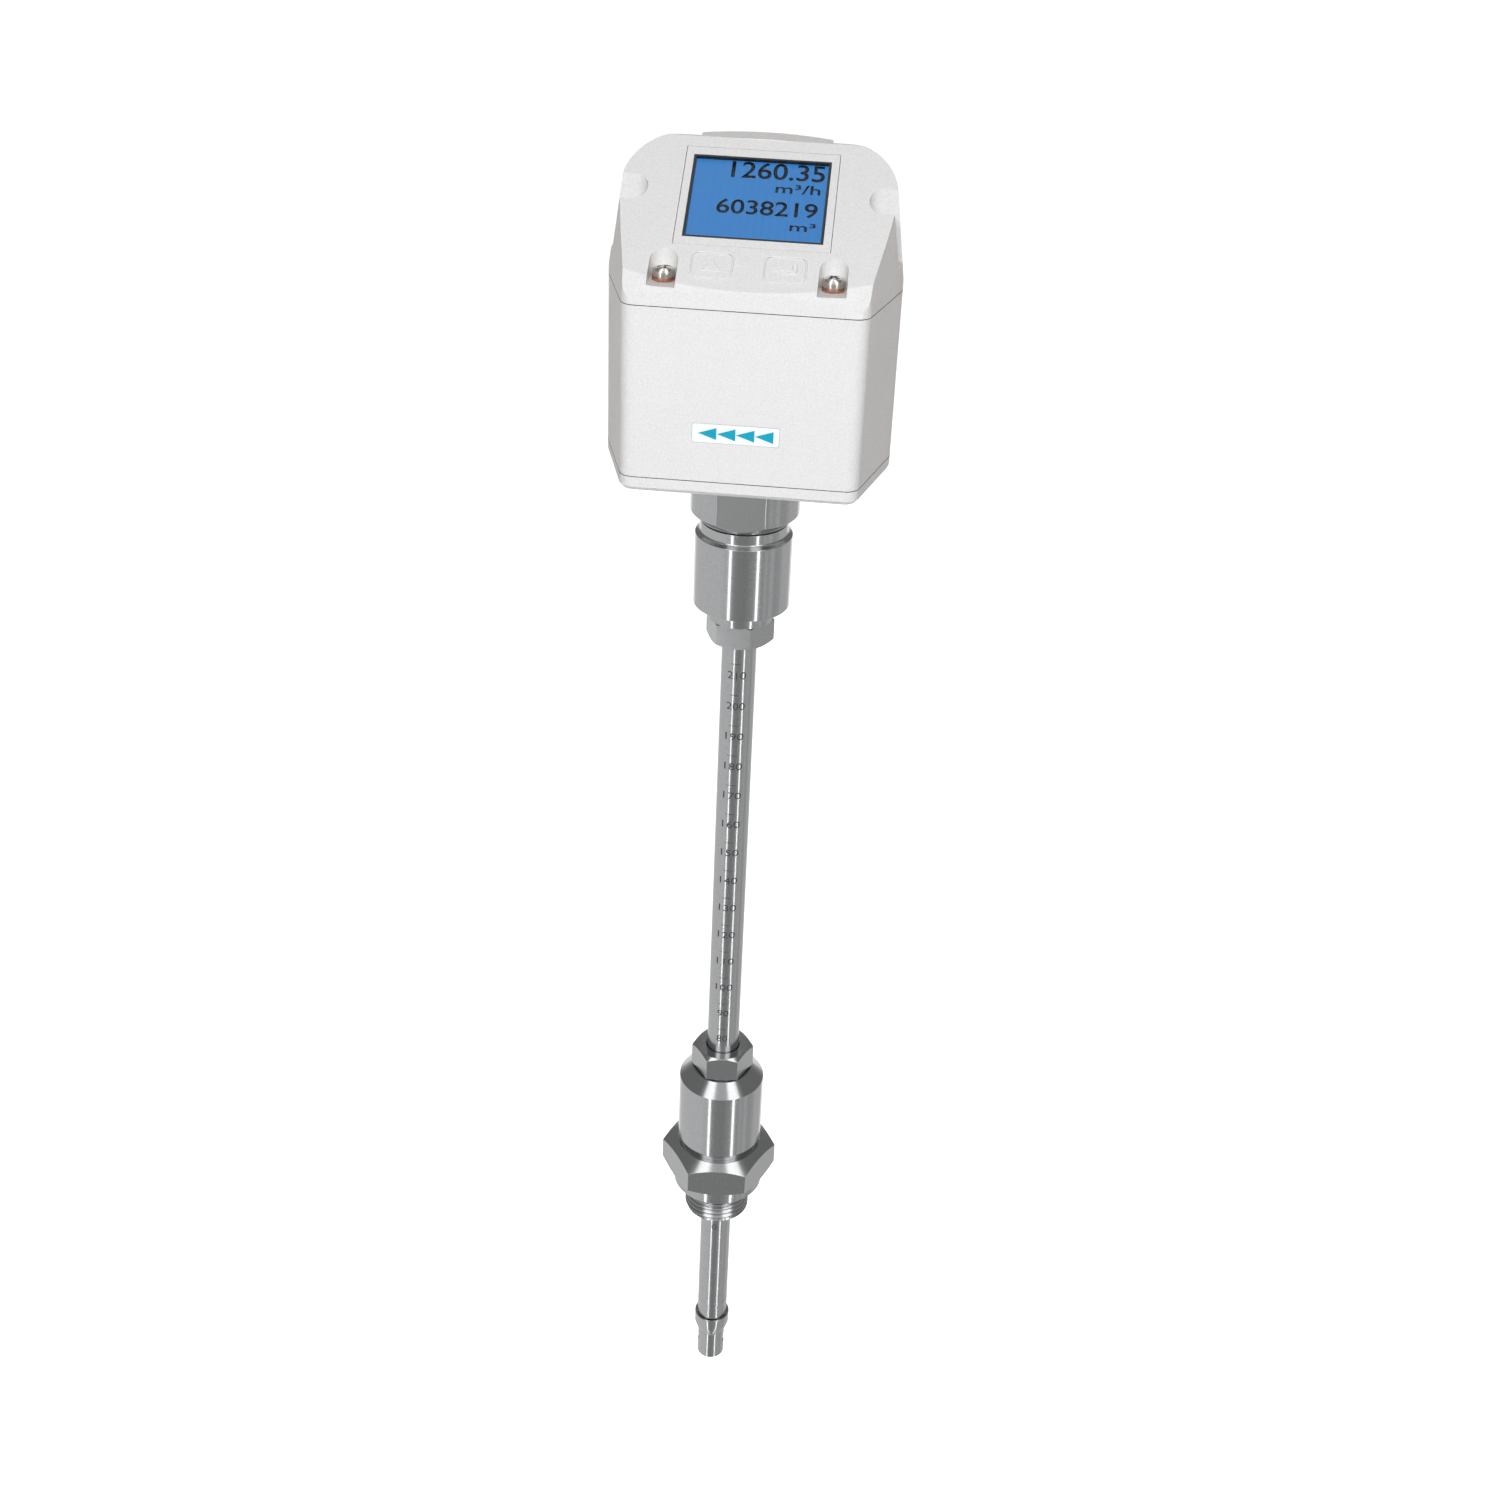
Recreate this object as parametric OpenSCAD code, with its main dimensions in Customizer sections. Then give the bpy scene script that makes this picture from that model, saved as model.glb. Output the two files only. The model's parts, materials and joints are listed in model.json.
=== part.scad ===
// Insertion flow sensor for compressed air. A graduated stainless probe is held
// by a screw-in compression fitting and carries a plastic head with a sloped
// display. The origin is on the sealing seat of the process thread, on the probe
// axis, +Z runs up the probe and the front of the head faces -Y.

/* [Process thread] */
// Radius of the pipe thread over its crests
thread_r = 10.4775; // [10.4:0.0005:10.55]
// Distance between two thread crests
thread_pitch = 1.814; // [1.7:0.001:1.9]
// Depth of the thread grooves
thread_depth = 1.162; // [0.9:0.001:1.3]
// Length of the thread below its seat
thread_len = 12.5; // [11:0.1:16]
// Plain lead-in at the end of the thread
thread_lead = 1; // [0.6:0.1:1.6]

/* [Screw-in nipple] */
// Radius of the round collar that seals on its underside
collar_r = 14.5; // [13:0.1:16]
// Height of the round collar
collar_h = 4.9; // [3:0.1:7]
// Width across the flats of the large hexagon
large_hex_af = 32; // [30:0.5:36]
// Height of the large hexagon
large_hex_h = 11.5; // [9:0.1:14]
// Radius of the large hexagon's upper face
large_hex_top_r = 13.5; // [13:0.1:15]
// Radius of the large hexagon's lower face
large_hex_low_r = 15.5; // [15:0.1:16]
// Turn of the large hexagon about the axis
large_hex_turn = 3.65; // [-30:0.05:30]
// Depth of the threaded socket in the large hexagon
socket_depth = 11.2; // [9:0.1:12.5]
// Height of the lip that keeps the guide bush in
bush_lip_h = 1.5; // [1:0.1:3]
// Outer radius of the guide bush
bush_r = 6.5; // [6:0.1:7.2]
// Thickness of the flat seal under the fitting body
body_seal_t = 1; // [0.6:0.1:2]

/* [Fitting body] */
// Radius of the fitting body
body_r = 13.45; // [12.5:0.05:15]
// Radius of the neck between hexagon and body
body_neck_r = 12.2; // [11:0.1:12.4]
// Height of that neck
body_neck_h = 2.3; // [1:0.1:4]
// Height of the body's straight part
body_h = 24; // [18:0.5:32]
// Radius at the top of the body's cone
body_top_r = 9.5; // [9:0.1:11]
// Height of the body's cone
body_cone_h = 3.8; // [2:0.1:6]
// Bevel at the foot of the body
body_bevel = 0.4; // [0.2:0.1:0.8]
// Radius of the spigot that screws into the nipple
spigot_r = 9.6; // [9:0.1:10]
// Bore that holds seal, collet and thrust ring
chamber_r = 8; // [7.5:0.1:8.4]
// Height of the chamber's floor above the thread seat
chamber_floor_z = 13; // [11:0.1:15]

/* [Clamping nut] */
// Width across the flats of the clamping nut
nut_af = 17; // [16:0.5:20]
// Height of the nut's hexagon
nut_h = 8.1; // [6:0.1:11]
// Radius of the nut's top face
nut_face_r = 8.1; // [7.6:0.1:8.4]
// Turn of the nut about the axis
nut_turn = 4.8; // [-30:0.1:30]
// Gap between the nut and the fitting body when clamped
nut_gap = 0.4; // [0.3:0.1:1]
// Length of the nut's threaded shank
nut_shank_h = 8.4; // [6:0.1:10]
// Height of the thrust ring
thrust_h = 2.4; // [1.6:0.1:3]
// Depth of the countersink in the nut's top face
nut_sink = 1; // [0.5:0.1:1.5]
// Width of the slots in the collet
collet_slot = 0.8; // [0.4:0.1:1.5]
// Length of the slots in the collet
collet_slot_len = 13; // [8:0.5:16]
// Bevel at the collet's top edge
collet_bevel = 1.3; // [0.6:0.1:1.6]

/* [Probe] */
// Outer radius of the probe tube
tube_r = 5; // [4.8:0.05:5.2]
// Wall thickness of the probe tube
tube_wall = 1; // [0.8:0.1:1.5]
// Drop from the thread seat to the safety collar's top, as mounted
rest_drop = 62.6; // [30:0.1:110]
// Length of the stem between safety collar and upper hexagon
stem_len = 263.1; // [200:0.1:400]
// Height of the lower ring mark above the safety collar
ring_mark_low = 7.5; // [4:0.1:12]
// Height of the upper ring mark above the safety collar
ring_mark_high = 22.4; // [15:0.1:30]
// Width of a ring mark
ring_mark_w = 0.35; // [0.2:0.05:0.6]
// Depth of a ring mark
ring_mark_d = 0.12; // [0.08:0.01:0.2]
// Radius of the safety collar
safety_r = 5.85; // [5.6:0.05:7]
// Height of the safety collar's straight part
safety_h = 4.2; // [3:0.1:6]
// Height of the cone under it
safety_cone_h = 3.7; // [2:0.1:5]
// Depth of the recess round the tube in the collar's top
safety_recess = 0.8; // [0.3:0.1:1.5]
// Width of that recess
safety_recess_w = 0.4; // [0.2:0.05:0.6]
// Seat under the end of the tube inside the collar
safety_seat_h = 1; // [0.6:0.1:1.6]

/* [Sensor tip] */
// Radius of the sensor tip
tip_r = 4.55; // [4.3:0.05:4.8]
// Length of the tip below the safety collar
tip_len = 11.2; // [9:0.1:16]
// Bevel at the tip's end
tip_bevel = 0.4; // [0.2:0.05:0.8]
// Radius of the flow hole through the tip
flow_hole_r = 1.9; // [1.5:0.05:2.2]
// Depth of the flow hole's axis below the safety collar
flow_hole_drop = 4.3; // [3.5:0.1:6]
// Length of the spigot that holds the tip in the tube
tip_spigot_h = 7.5; // [5:0.1:10]
// Radius of the bore for the element carrier
carrier_r = 2.9; // [2.5:0.1:3.1]
// Length of the element carrier
carrier_h = 10.3; // [8:0.1:14]
// Radius of a sensing element
element_r = 0.5; // [0.3:0.05:0.7]
// Distance between the two sensing elements
element_gap = 2; // [1.4:0.1:2.6]
// Radius of a probe wire
wire_r = 0.4; // [0.2:0.05:0.5]
// Distance of each probe wire from the axis
wire_pcr = 1.5; // [1.1:0.1:1.8]

/* [Head coupling] */
// Width across the flats of the hexagon on the stem
stem_hex_af = 17; // [16:0.5:20]
// Height of the hexagon on the stem
stem_hex_h = 7; // [5:0.1:10]
// Radius of the stem hexagon's lower face
stem_hex_face_r = 8.2; // [7.8:0.1:8.4]
// Step between the hexagon's upper face and the round shoulder
stem_hex_step = 0.1; // [0.05:0.05:0.2]
// Turn of the stem hexagon about the axis
stem_hex_turn = -7.4; // [-30:0.1:30]
// Height of the round shoulder above that hexagon
shoulder_h = 4.4; // [2:0.1:6]
// Radius of that shoulder
shoulder_r = 9.3; // [8.8:0.1:9.6]
// Radius of the coupling sleeve
sleeve_r = 13.5; // [12.8:0.1:15]
// Height of the coupling sleeve's straight part
sleeve_h = 21.2; // [16:0.1:28]
// Height of the bevel at its top
sleeve_bevel = 0.7; // [0.4:0.1:1.2]
// Radius of the neck above the sleeve
sleeve_neck_r = 12.2; // [11.8:0.1:12.5]
// Height of that neck
sleeve_neck_h = 3.1; // [2:0.1:5]
// Radius of the bore that takes the stem's spigot
sleeve_bore_r = 10; // [9.5:0.1:10.8]
// Length of the stem's spigot in the sleeve
stem_spigot_h = 11; // [8:0.1:12]
// Radius of the bore that takes the adapter's spigot
union_bore_r = 8.55; // [8:0.05:9]
// Length of the adapter's spigot in the sleeve
union_spigot_h = 11.5; // [8:0.1:12]
// Thickness of the seal between sleeve and adapter
union_seal_t = 0.6; // [0.4:0.1:1]
// Radius of the head adapter
adapter_r = 15; // [14.6:0.1:16]
// Height of the head adapter
adapter_h = 16.3; // [14:0.1:22]
// Bevel at the adapter's lower edge
adapter_bevel = 2.45; // [1:0.05:3]
// Width across the adapter's two wrench flats
adapter_af = 27; // [26:0.5:28]
// Radius of the adapter's threaded spigot in the head
gland_r = 10; // [8:0.1:11]
// Length of that spigot
gland_h = 11; // [9:0.1:12]
// Radius of the bore through the adapter
adapter_bore_r = 5; // [3:0.1:6]
// Width across the flats of the lock nut in the head
locknut_af = 24; // [22:0.5:25]
// Height of the lock nut
locknut_h = 5; // [3:0.1:6]
// Thickness of the flat seal under the lock nut
gland_seal_t = 1.5; // [0.8:0.1:2]

/* [Head outline] */
// Greatest width of the head
head_w = 76.4; // [72:0.2:84]
// Distance from the probe axis to the front face
head_front = 26.7; // [25:0.1:30]
// Distance from the probe axis to the back face
head_back = 22.4; // [22:0.1:26]
// Width of the flat part of the front face
front_flat_w = 54.6; // [54:0.2:58]
// Radius of the front corners
front_corner_r = 4; // [3.4:0.1:5]
// Radius of the back corners
back_corner_r = 19; // [15:0.1:20]
// Height of the bottom cover
cover_h = 4; // [2.5:0.1:5]
// Bevel round the bottom cover's lower edge
cover_bevel = 1.2; // [0.5:0.1:1.5]
// Height of the base housing
base_h = 45.3; // [42:0.1:60]
// Wall thickness of the base housing
base_wall = 3; // [2.8:0.1:3.4]
// Width of the tongue on the bottom cover
tongue_w = 1.5; // [1:0.1:2]
// Height of the tongue on the bottom cover
tongue_h = 2; // [1:0.1:3]

/* [Lid] */
// Wall thickness of the lid
lid_wall = 2.5; // [2:0.1:2.8]
// Height of the lid's upright rim
lid_rim_h = 2; // [1:0.1:3]
// Angle of the sloped display face
slope_angle = 32; // [30:0.5:34]
// Height of the sloped face above the lid's seam, on the probe axis
slope_rise = 21.4; // [21:0.1:24]
// Height of the lid's back edge above the seam
lid_back_h = 32.1; // [32:0.1:36]
// Width of the lid at that height
lid_top_w = 68.4; // [67.6:0.2:75]
// Distance from the probe axis to the lid's back at that height
lid_top_back = 18.4; // [17:0.1:20]
// Radius of the lid's upper back corners
lid_top_corner_r = 14.4; // [14:0.1:17]
// Radius of the bow in the sloped face's front edge
bow_r = 200; // [150:5:300]
// Inset of the sloped face's front edge from the front face
bow_inset = 0.5; // [0.3:0.1:1]
// Height of the bow's middle above the seam
bow_z = 5.1; // [4.6:0.1:6]
// Steepness of the bevel in front of the sloped face
bow_bevel_angle = 54; // [50:1:60]
// Width of the hump at the back
hump_w = 34.3; // [32:0.1:38]
// Distance from the probe axis to the hump's back
hump_back = 25.5; // [24:0.1:29]
// Height of the hump's ends above the lid's seam
hump_h = 31.4; // [30:0.1:33]
// Rise of the hump's arched top over its ends
hump_rise = 0.95; // [0.5:0.05:2]
// Side wall thickness of the hump
hump_side_t = 1.5; // [1.2:0.1:2]
// Height of the connector pad's lower edge above the base housing's lower edge
pad_rise = 5.3; // [3:0.1:12]
// Thickness of the shelf over the pad's hollow
pad_shelf_t = 4; // [3:0.1:5]

/* [Lid screws] */
// Half the distance between the front screws
front_screw_x = 21.1; // [20:0.1:22]
// Distance of the front screws before the probe axis
front_screw_y = 19.1; // [18.4:0.1:20]
// Half the distance between the back screws
back_screw_x = 31.7; // [31:0.1:32.5]
// Distance of the back screws behind the probe axis
back_screw_y = 1.4; // [0:0.1:4]
// Radius of a screw pocket
pocket_r = 3.6; // [3.3:0.1:4]
// Wall thickness round a screw pocket
pocket_wall = 2; // [1.5:0.1:2.2]
// Height of a front pocket's floor above the seam
front_floor_h = 4.7; // [4:0.1:5]
// Height of a back pocket's floor above the seam
back_floor_h = 6.2; // [5:0.1:8]
// Radius of the screw's shank
screw_r = 1.5; // [1.2:0.05:1.6]
// Radius of the screw's head
screw_head_r = 2.8; // [2.5:0.1:3]
// Height of the screw's head
screw_head_h = 2.4; // [1.8:0.1:2.8]
// Length of the screw's shank under the washer
screw_len = 14; // [10:0.5:18]
// Radius of the washer under the head
washer_r = 2.9; // [2.7:0.1:3.1]
// Thickness of that washer
washer_t = 1.1; // [0.5:0.1:1.4]
// Height of a screw boss in the base housing
boss_h = 13; // [11:0.5:16]
// Radius of a screw boss in the base housing
boss_r = 4.8; // [4.5:0.1:5]

/* [Lid seal] */
// Distance of the seal's groove from the outside
groove_inset = 0.9; // [0.7:0.1:1]
// Width of the seal in its groove
gasket_w = 1.2; // [0.8:0.1:1.3]
// Height of the seal
gasket_h = 1.2; // [0.8:0.1:2]

/* [Display] */
// Width of the bezel let into the sloped face
bezel_w = 39.3; // [38:0.1:40]
// Height of the bezel along the slope
bezel_h = 33.1; // [31.5:0.1:33.5]
// Width of the dark display frame
display_w = 35.2; // [34:0.1:36]
// Height of the dark display frame along the slope
display_h = 28; // [26:0.1:28.5]
// Width of the dark border round the screen
display_border = 0.6; // [0.4:0.1:1]
// Gap all round a piece let into another
seam_gap = 0.15; // [0.1:0.01:0.2]
// Thickness of the bezel's flange behind the lid's wall
bezel_flange_t = 0.8; // [0.6:0.1:1]
// Overhang of that flange at each side
bezel_flange_w = 0.8; // [0.5:0.1:1.2]
// Thickness of the clear window
window_t = 0.8; // [0.5:0.1:1.2]
// Depth of the window below the bezel
window_sink = 0.2; // [0.1:0.05:0.4]
// Width of the display module
module_w = 40; // [38:0.5:41]
// Height of the display module along the slope
module_h = 30; // [29:0.5:30]
// Thickness of the display module behind the bezel
module_t = 3.2; // [2.5:0.1:3.4]

/* [Keys] */
// Width of a key
key_w = 10; // [8:0.1:10.5]
// Height of a key along the slope
key_h = 8; // [7:0.1:8.4]
// Radius of a key's corners
key_corner_r = 2; // [1:0.1:3]
// Distance of each key's middle from the head's mid plane
key_x = 9.1; // [8:0.1:9.6]
// Distance of the keys' middle below the display's middle, along the slope
key_drop = 23.1; // [22.5:0.1:23.6]
// Travel of a key
key_travel = 0.6; // [0.3:0.05:0.8]
// Thickness of the flange that keeps a key in
key_flange_t = 0.8; // [0.6:0.1:1]
// Overhang of that flange
key_flange_w = 0.6; // [0.4:0.1:0.8]
// Radius of the post under a key
key_post_r = 1.5; // [1:0.1:2]
// Length of the post under a key
key_post_h = 0.9; // [0.6:0.1:1.1]

/* [Circuit boards] */
// Thickness of a circuit board
board_t = 1.6; // [1:0.1:2]
// Width of the display board
display_board_w = 50.8; // [48:0.2:51]
// Width of the display board's tail behind the keys
display_tail_w = 30; // [26:0.5:30.4]
// Reach of the display board above the display's middle
display_board_up = 13.2; // [12.8:0.1:13.8]
// Reach of its wide part below the display's middle
display_board_down = 13; // [12.5:0.1:14]
// Reach of its tail below the display's middle
display_tail_down = 28; // [27:0.1:28.5]
// Half the distance between the display board's pillars
pillar_x = 23.6; // [23.2:0.1:23.8]
// Distance of the pillars from the display's middle along the slope
pillar_s = 11; // [9:0.1:11.5]
// Radius of a pillar
pillar_r = 1.8; // [1.5:0.1:1.9]
// Width of the main board
main_board_w = 52; // [48:0.5:53]
// Depth of the main board
main_board_d = 34; // [30:0.5:34]
// Height of the standoffs under the main board
standoff_h = 12.2; // [11:0.1:16]
// Distance of the standoffs before and behind the probe axis
standoff_y = 11.9; // [10:0.1:12.2]
// Distance from a cover screw's boss to the axis of the standoff beside it
standoff_gap = 5.5; // [5:0.1:7]
// Width across the flats of a standoff
standoff_af = 5.5; // [5:0.1:6]
// Radius of the small screws that hold the boards
small_screw_r = 1.25; // [1:0.05:1.3]
// Radius of their heads
small_head_r = 2.2; // [1.9:0.1:2.5]
// Height of their heads
small_head_h = 1.5; // [1:0.1:1.8]

/* [Plug connectors] */
// Radius of a connector's outer thread
plug_r = 6; // [5.8:0.05:6.1]
// Distance between two crests of that thread
plug_pitch = 1; // [0.8:0.05:1.2]
// Depth of that thread's grooves
plug_thread_depth = 0.6; // [0.4:0.05:0.7]
// Half the distance between the two connectors
plug_x = 8.2; // [7.9:0.1:8.4]
// Height of the connectors above the base housing's lower edge
plug_rise = 25.3; // [23:0.1:28]
// Length of a connector's thread outside the head
plug_len = 8; // [7:0.1:12]
// Radius of a connector's flange
plug_flange_r = 7.6; // [7.2:0.1:7.8]
// Thickness of a connector's flange
plug_flange_t = 1.5; // [1:0.1:2.5]
// Length of a connector's shank inside the head
plug_shank = 8; // [7:0.1:9]
// Inner radius of a connector's shell
plug_bore_r = 4.45; // [4.2:0.05:4.7]
// Depth of the contact insert in its shell
plug_recess = 6; // [4:0.1:8]
// Radius of the contact circle
pin_pcr = 2.6; // [2.2:0.1:3]
// Radius of a contact pin
pin_r = 0.5; // [0.4:0.05:0.6]
// Number of contact pins on the circle
pin_count = 4; // [3:1:5]
// Width across the flats of a connector's lock nut
plug_nut_af = 14; // [13:0.5:14]
// Thickness of a connector's lock nut
plug_nut_t = 2.5; // [1.5:0.1:3]

/* [Flow label] */
// Width of the flow direction label
label_w = 22.2; // [18:0.2:30]
// Height of the label
label_h = 5; // [4:0.1:7]
// Thickness of the label
label_t = 0.15; // [0.1:0.05:0.3]
// Height of the label's middle above the head's bottom
label_z = 17.3; // [10:0.1:30]
// Shift of the label's middle to the left
label_shift = 1; // [0:0.1:4]

/* [Fits] */
// Radial gap of a running fit
run_gap = 0.05; // [0.03:0.01:0.08]
// Radial gap of a fixed fit
fit_gap = 0.02; // [0.01:0.01:0.04]
// Gap between faces that press on each other when clamped
face_gap = 0.1; // [0.05:0.01:0.2]
// Radial gap where the tube passes freely
pass_gap = 0.3; // [0.2:0.05:0.5]

/* [Hidden] */

steel = "#a9abad";
bright_steel = "#c4c6c8";
housing_grey = "#e5e2de";
board_green = "#2f6b45";
seal_black = "#1d1d1f";
brass = "#b9995a";
contact_gold = "#c9a752";

// Facets of large and small round shapes
round_fn = 96;
small_fn = 32;
bow_fn = 360;
// Segments of a corner arc
corner_steps = 10;
// Overrun of a cut beyond the surface that it opens
cut = 1;
// Least radius of an inner corner
least_corner_r = 0.5;
// Share of the pitch that a thread crest keeps flat
crest_share = 0.2;
// Share of the pitch that a thread root keeps flat
root_share = 0.15;
// Slope of a hexagon's chamfer
hex_bevel_slope = tan(30);

// Heights on the fitting, upwards from the thread seat
hex_low_z = collar_h;
hex_top_z = hex_low_z + large_hex_h;
socket_z = hex_top_z - socket_depth;
bush_low_z = -thread_len + bush_lip_h;
spigot_z = socket_z + body_seal_t;
body_low_z = hex_top_z + body_neck_h;
body_cone_z = body_low_z + body_h;
body_top_z = body_cone_z + body_cone_h;
seal_section = chamber_r - tube_r - run_gap - fit_gap;
collet_z = chamber_floor_z + seal_section + face_gap;
nut_low_z = body_top_z + nut_gap;
nut_top_z = nut_low_z + nut_h;
thrust_top_z = nut_low_z - nut_shank_h;
thrust_z = thrust_top_z - thrust_h;
collet_top_z = thrust_z - face_gap;

// Heights on the probe
safety_top_z = -rest_drop;
safety_cone_z = safety_top_z - safety_h;
tip_top_z = safety_cone_z - safety_cone_h;
tip_low_z = tip_top_z - tip_len;
flow_hole_z = tip_top_z - flow_hole_drop;
tube_low_z = tip_top_z + safety_seat_h;
tube_bore_r = tube_r - tube_wall;
tip_spigot_z = tip_top_z + tip_spigot_h;
carrier_low_z = flow_hole_z + flow_hole_r + element_r;
carrier_top_z = carrier_low_z + carrier_h;
carrier_floor_z = flow_hole_z - flow_hole_r - element_r;
stem_hex_z = safety_top_z + stem_len;
shoulder_z = stem_hex_z + stem_hex_h;
sleeve_z = shoulder_z + shoulder_h;
stem_spigot_z = sleeve_z + stem_spigot_h;
tube_top_z = sleeve_z + tube_wall * 2;
plug_low_z = tube_top_z - tube_wall * 4;
sleeve_top_z = sleeve_z + sleeve_h;
neck_z = sleeve_top_z + sleeve_bevel;
neck_top_z = neck_z + sleeve_neck_h;
adapter_z = neck_top_z + union_seal_t;
union_bore_z = stem_spigot_z + face_gap;

// Heights on the head
head_z = adapter_z + adapter_h;
base_z = head_z + cover_h;
seam_z = base_z + base_h;
slope_z = seam_z + slope_rise;
lid_top_z = seam_z + lid_back_h;
hump_z = seam_z + hump_h;
board_z = base_z + standoff_h;
plug_z = base_z + plug_rise;
pad_z = base_z + pad_rise;
gland_top_z = head_z + gland_h;
locknut_z = base_z + gland_seal_t;

// Depths below the sloped face, counted towards the inside
flange_d = lid_wall + bezel_flange_t;
board_d = flange_d + module_t;
key_flange_d = lid_wall + face_gap * 2;
key_post_d = key_flange_d + key_flange_t;
key_end_d = key_post_d + key_post_h;
switch_top_d = key_end_d + key_travel + run_gap;

// Radii of a connector's shank and of the groove for its seal
plug_shank_r = plug_r - plug_thread_depth;
plug_groove_r = plug_shank_r + plug_flange_t / 8;

// Places of the fasteners
lid_screw_spots = [[-front_screw_x, -front_screw_y, front_floor_h, 20],
    [front_screw_x, -front_screw_y, front_floor_h, 50],
    [-back_screw_x, back_screw_y, back_floor_h, 5],
    [back_screw_x, back_screw_y, back_floor_h, 70]];
cover_front_shares = [0.64, 0.73];
cover_back_shares = [0.746, 0.58];
cover_screw_spots = [for (side = [-1, 1])
    each [[side * cover_front_shares[0] * head_w / 2, -cover_front_shares[1] * head_front],
        [side * cover_back_shares[0] * head_w / 2, cover_back_shares[1] * head_back]]];
standoff_x = cover_back_shares[0] * head_w / 2 - boss_r - standoff_gap;
standoff_spots = [for (side = [-1, 1], end = [-1, 1]) [side * standoff_x, end * standoff_y]];
pillar_spots = [for (side = [-1, 1], end = [-1, 1]) [side * pillar_x, end * pillar_s]];
wire_angles = [45, 135, 225, 315];

// Cross in a pan head, as shares of the head's radius
cross_w_share = 0.24;
cross_len_share = 1.1;

// Screws, switches and parts on the boards
pillar_screw_share = 0.8;
pillar_screw_r = small_screw_r * pillar_screw_share;
pillar_screw_len_share = 2.4;
pillar_screw_turn = 30;
board_screw_len_share = 0.45;
board_screw_turn = 15;
switch_w_share = 0.64;
switch_base_share = 0.6;
large_chip_share = 1.4;
strip_share = 0.8;

// Outlines in plan
function arc_points(x, y, r, from, to, steps) =
    [for (i = [0:steps]) let (a = from + (to - from) * i / steps) [x + r * cos(a), y + r * sin(a)]];
function side_angle(a, ar, b, br) =
    atan2(b[1] - a[1], b[0] - a[0]) - acos((ar - br) / norm(b - a));
function head_outline(front, front_r, back, back_r) =
    let (turn = side_angle(front, front_r, back, back_r),
        right = concat(arc_points(front[0], front[1], front_r, -90, turn, corner_steps),
            arc_points(back[0], back[1], back_r, turn, 90, corner_steps * 2)))
    concat(right, [for (i = [len(right) - 1:-1:0]) [-right[i][0], right[i][1]]]);
function rounded_points(w, h, r) =
    concat(arc_points(w / 2 - r, h / 2 - r, r, 0, 90, corner_steps),
        arc_points(r - w / 2, h / 2 - r, r, 90, 180, corner_steps),
        arc_points(r - w / 2, r - h / 2, r, 180, 270, corner_steps),
        arc_points(w / 2 - r, r - h / 2, r, 270, 360, corner_steps));

// An outline drawn inwards by inset: a sharp corner's centre moves in with it
function inset_outline(front, back, back_r, inset) =
    let (front_r = max(front_corner_r - inset, least_corner_r),
        move = front_r - (front_corner_r - inset))
    head_outline([front[0] - move, front[1] + move], front_r, back, back_r - inset);

module head_plan(inset = 0)
    polygon(inset_outline([front_flat_w / 2, front_corner_r - head_front],
        [head_w / 2 - back_corner_r, head_back - back_corner_r], back_corner_r, inset));

module lid_top_plan(inset = 0)
    polygon(inset_outline([front_flat_w / 2 - (head_w - lid_top_w) / 2, front_corner_r - head_front],
        [lid_top_w / 2 - lid_top_corner_r, lid_top_back - lid_top_corner_r],
        lid_top_corner_r, inset));

module turned(points)
    rotate_extrude($fn = round_fn) polygon(points);

module bore(r, low, high)
    translate([0, 0, low]) cylinder(r = r, h = high - low, $fn = round_fn);

// A hexagonal prism with conical faces above and below. The cones run on past its
// corners, and a lower radius beyond them leaves the lower face plain.
module chamfered_hex(af, low, high, low_r, high_r, turn) {
    corner_r = af / 2 / cos(30);
    wide = corner_r + cut;
    foot = min(low_r, wide);
    intersection() {
        translate([0, 0, low]) rotate(turn) cylinder(r = corner_r, h = high - low, $fn = 6);
        turned([[0, low], [foot, low], [wide, low + (wide - foot) * hex_bevel_slope],
            [wide, high - (wide - high_r) * hex_bevel_slope], [high_r, high], [0, high]]);
    }
}

// The thread as rings: crests and grooves between the lead-in and the seat
module thread_rings(r, depth, pitch, low, high, lead) {
    crest = pitch * crest_share;
    root = pitch * root_share;
    flank = (pitch - crest - root) / 2;
    count = floor((high - low - lead - crest) / pitch);
    start = high - crest - count * pitch;
    turned(concat([[0, low], [r - depth, low], [r - depth, start - flank]],
        [for (i = [0:count - 1])
            each [[r, start + i * pitch], [r, start + i * pitch + crest],
                [r - depth, start + i * pitch + crest + flank],
                [r - depth, start + (i + 1) * pitch - flank]]],
        [[r, high - crest], [r, high], [0, high]]));
}

// A pan head screw that hangs down from its seat, with a cross in the head
module pan_screw(r, head_r, head_h, len, turn) {
    rim = head_h / 3;
    slot_w = head_r * cross_w_share;
    slot_l = head_r * cross_len_share;
    difference() {
        union() {
            translate([0, 0, -len]) cylinder(r = r, h = len, $fn = small_fn);
            cylinder(r = head_r, h = rim, $fn = small_fn);
            translate([0, 0, rim]) intersection() {
                cylinder(r = head_r, h = head_h - rim, $fn = small_fn);
                dome_r = (head_r * head_r + (head_h - rim) * (head_h - rim)) / (2 * (head_h - rim));
                translate([0, 0, head_h - rim - dome_r]) sphere(r = dome_r, $fn = round_fn);
            }
        }
        for (a = [0, 90])
            rotate(turn + a) translate([-slot_l / 2, -slot_w / 2, head_h / 2])
                cube([slot_l, slot_w, head_h]);
    }
}

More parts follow.
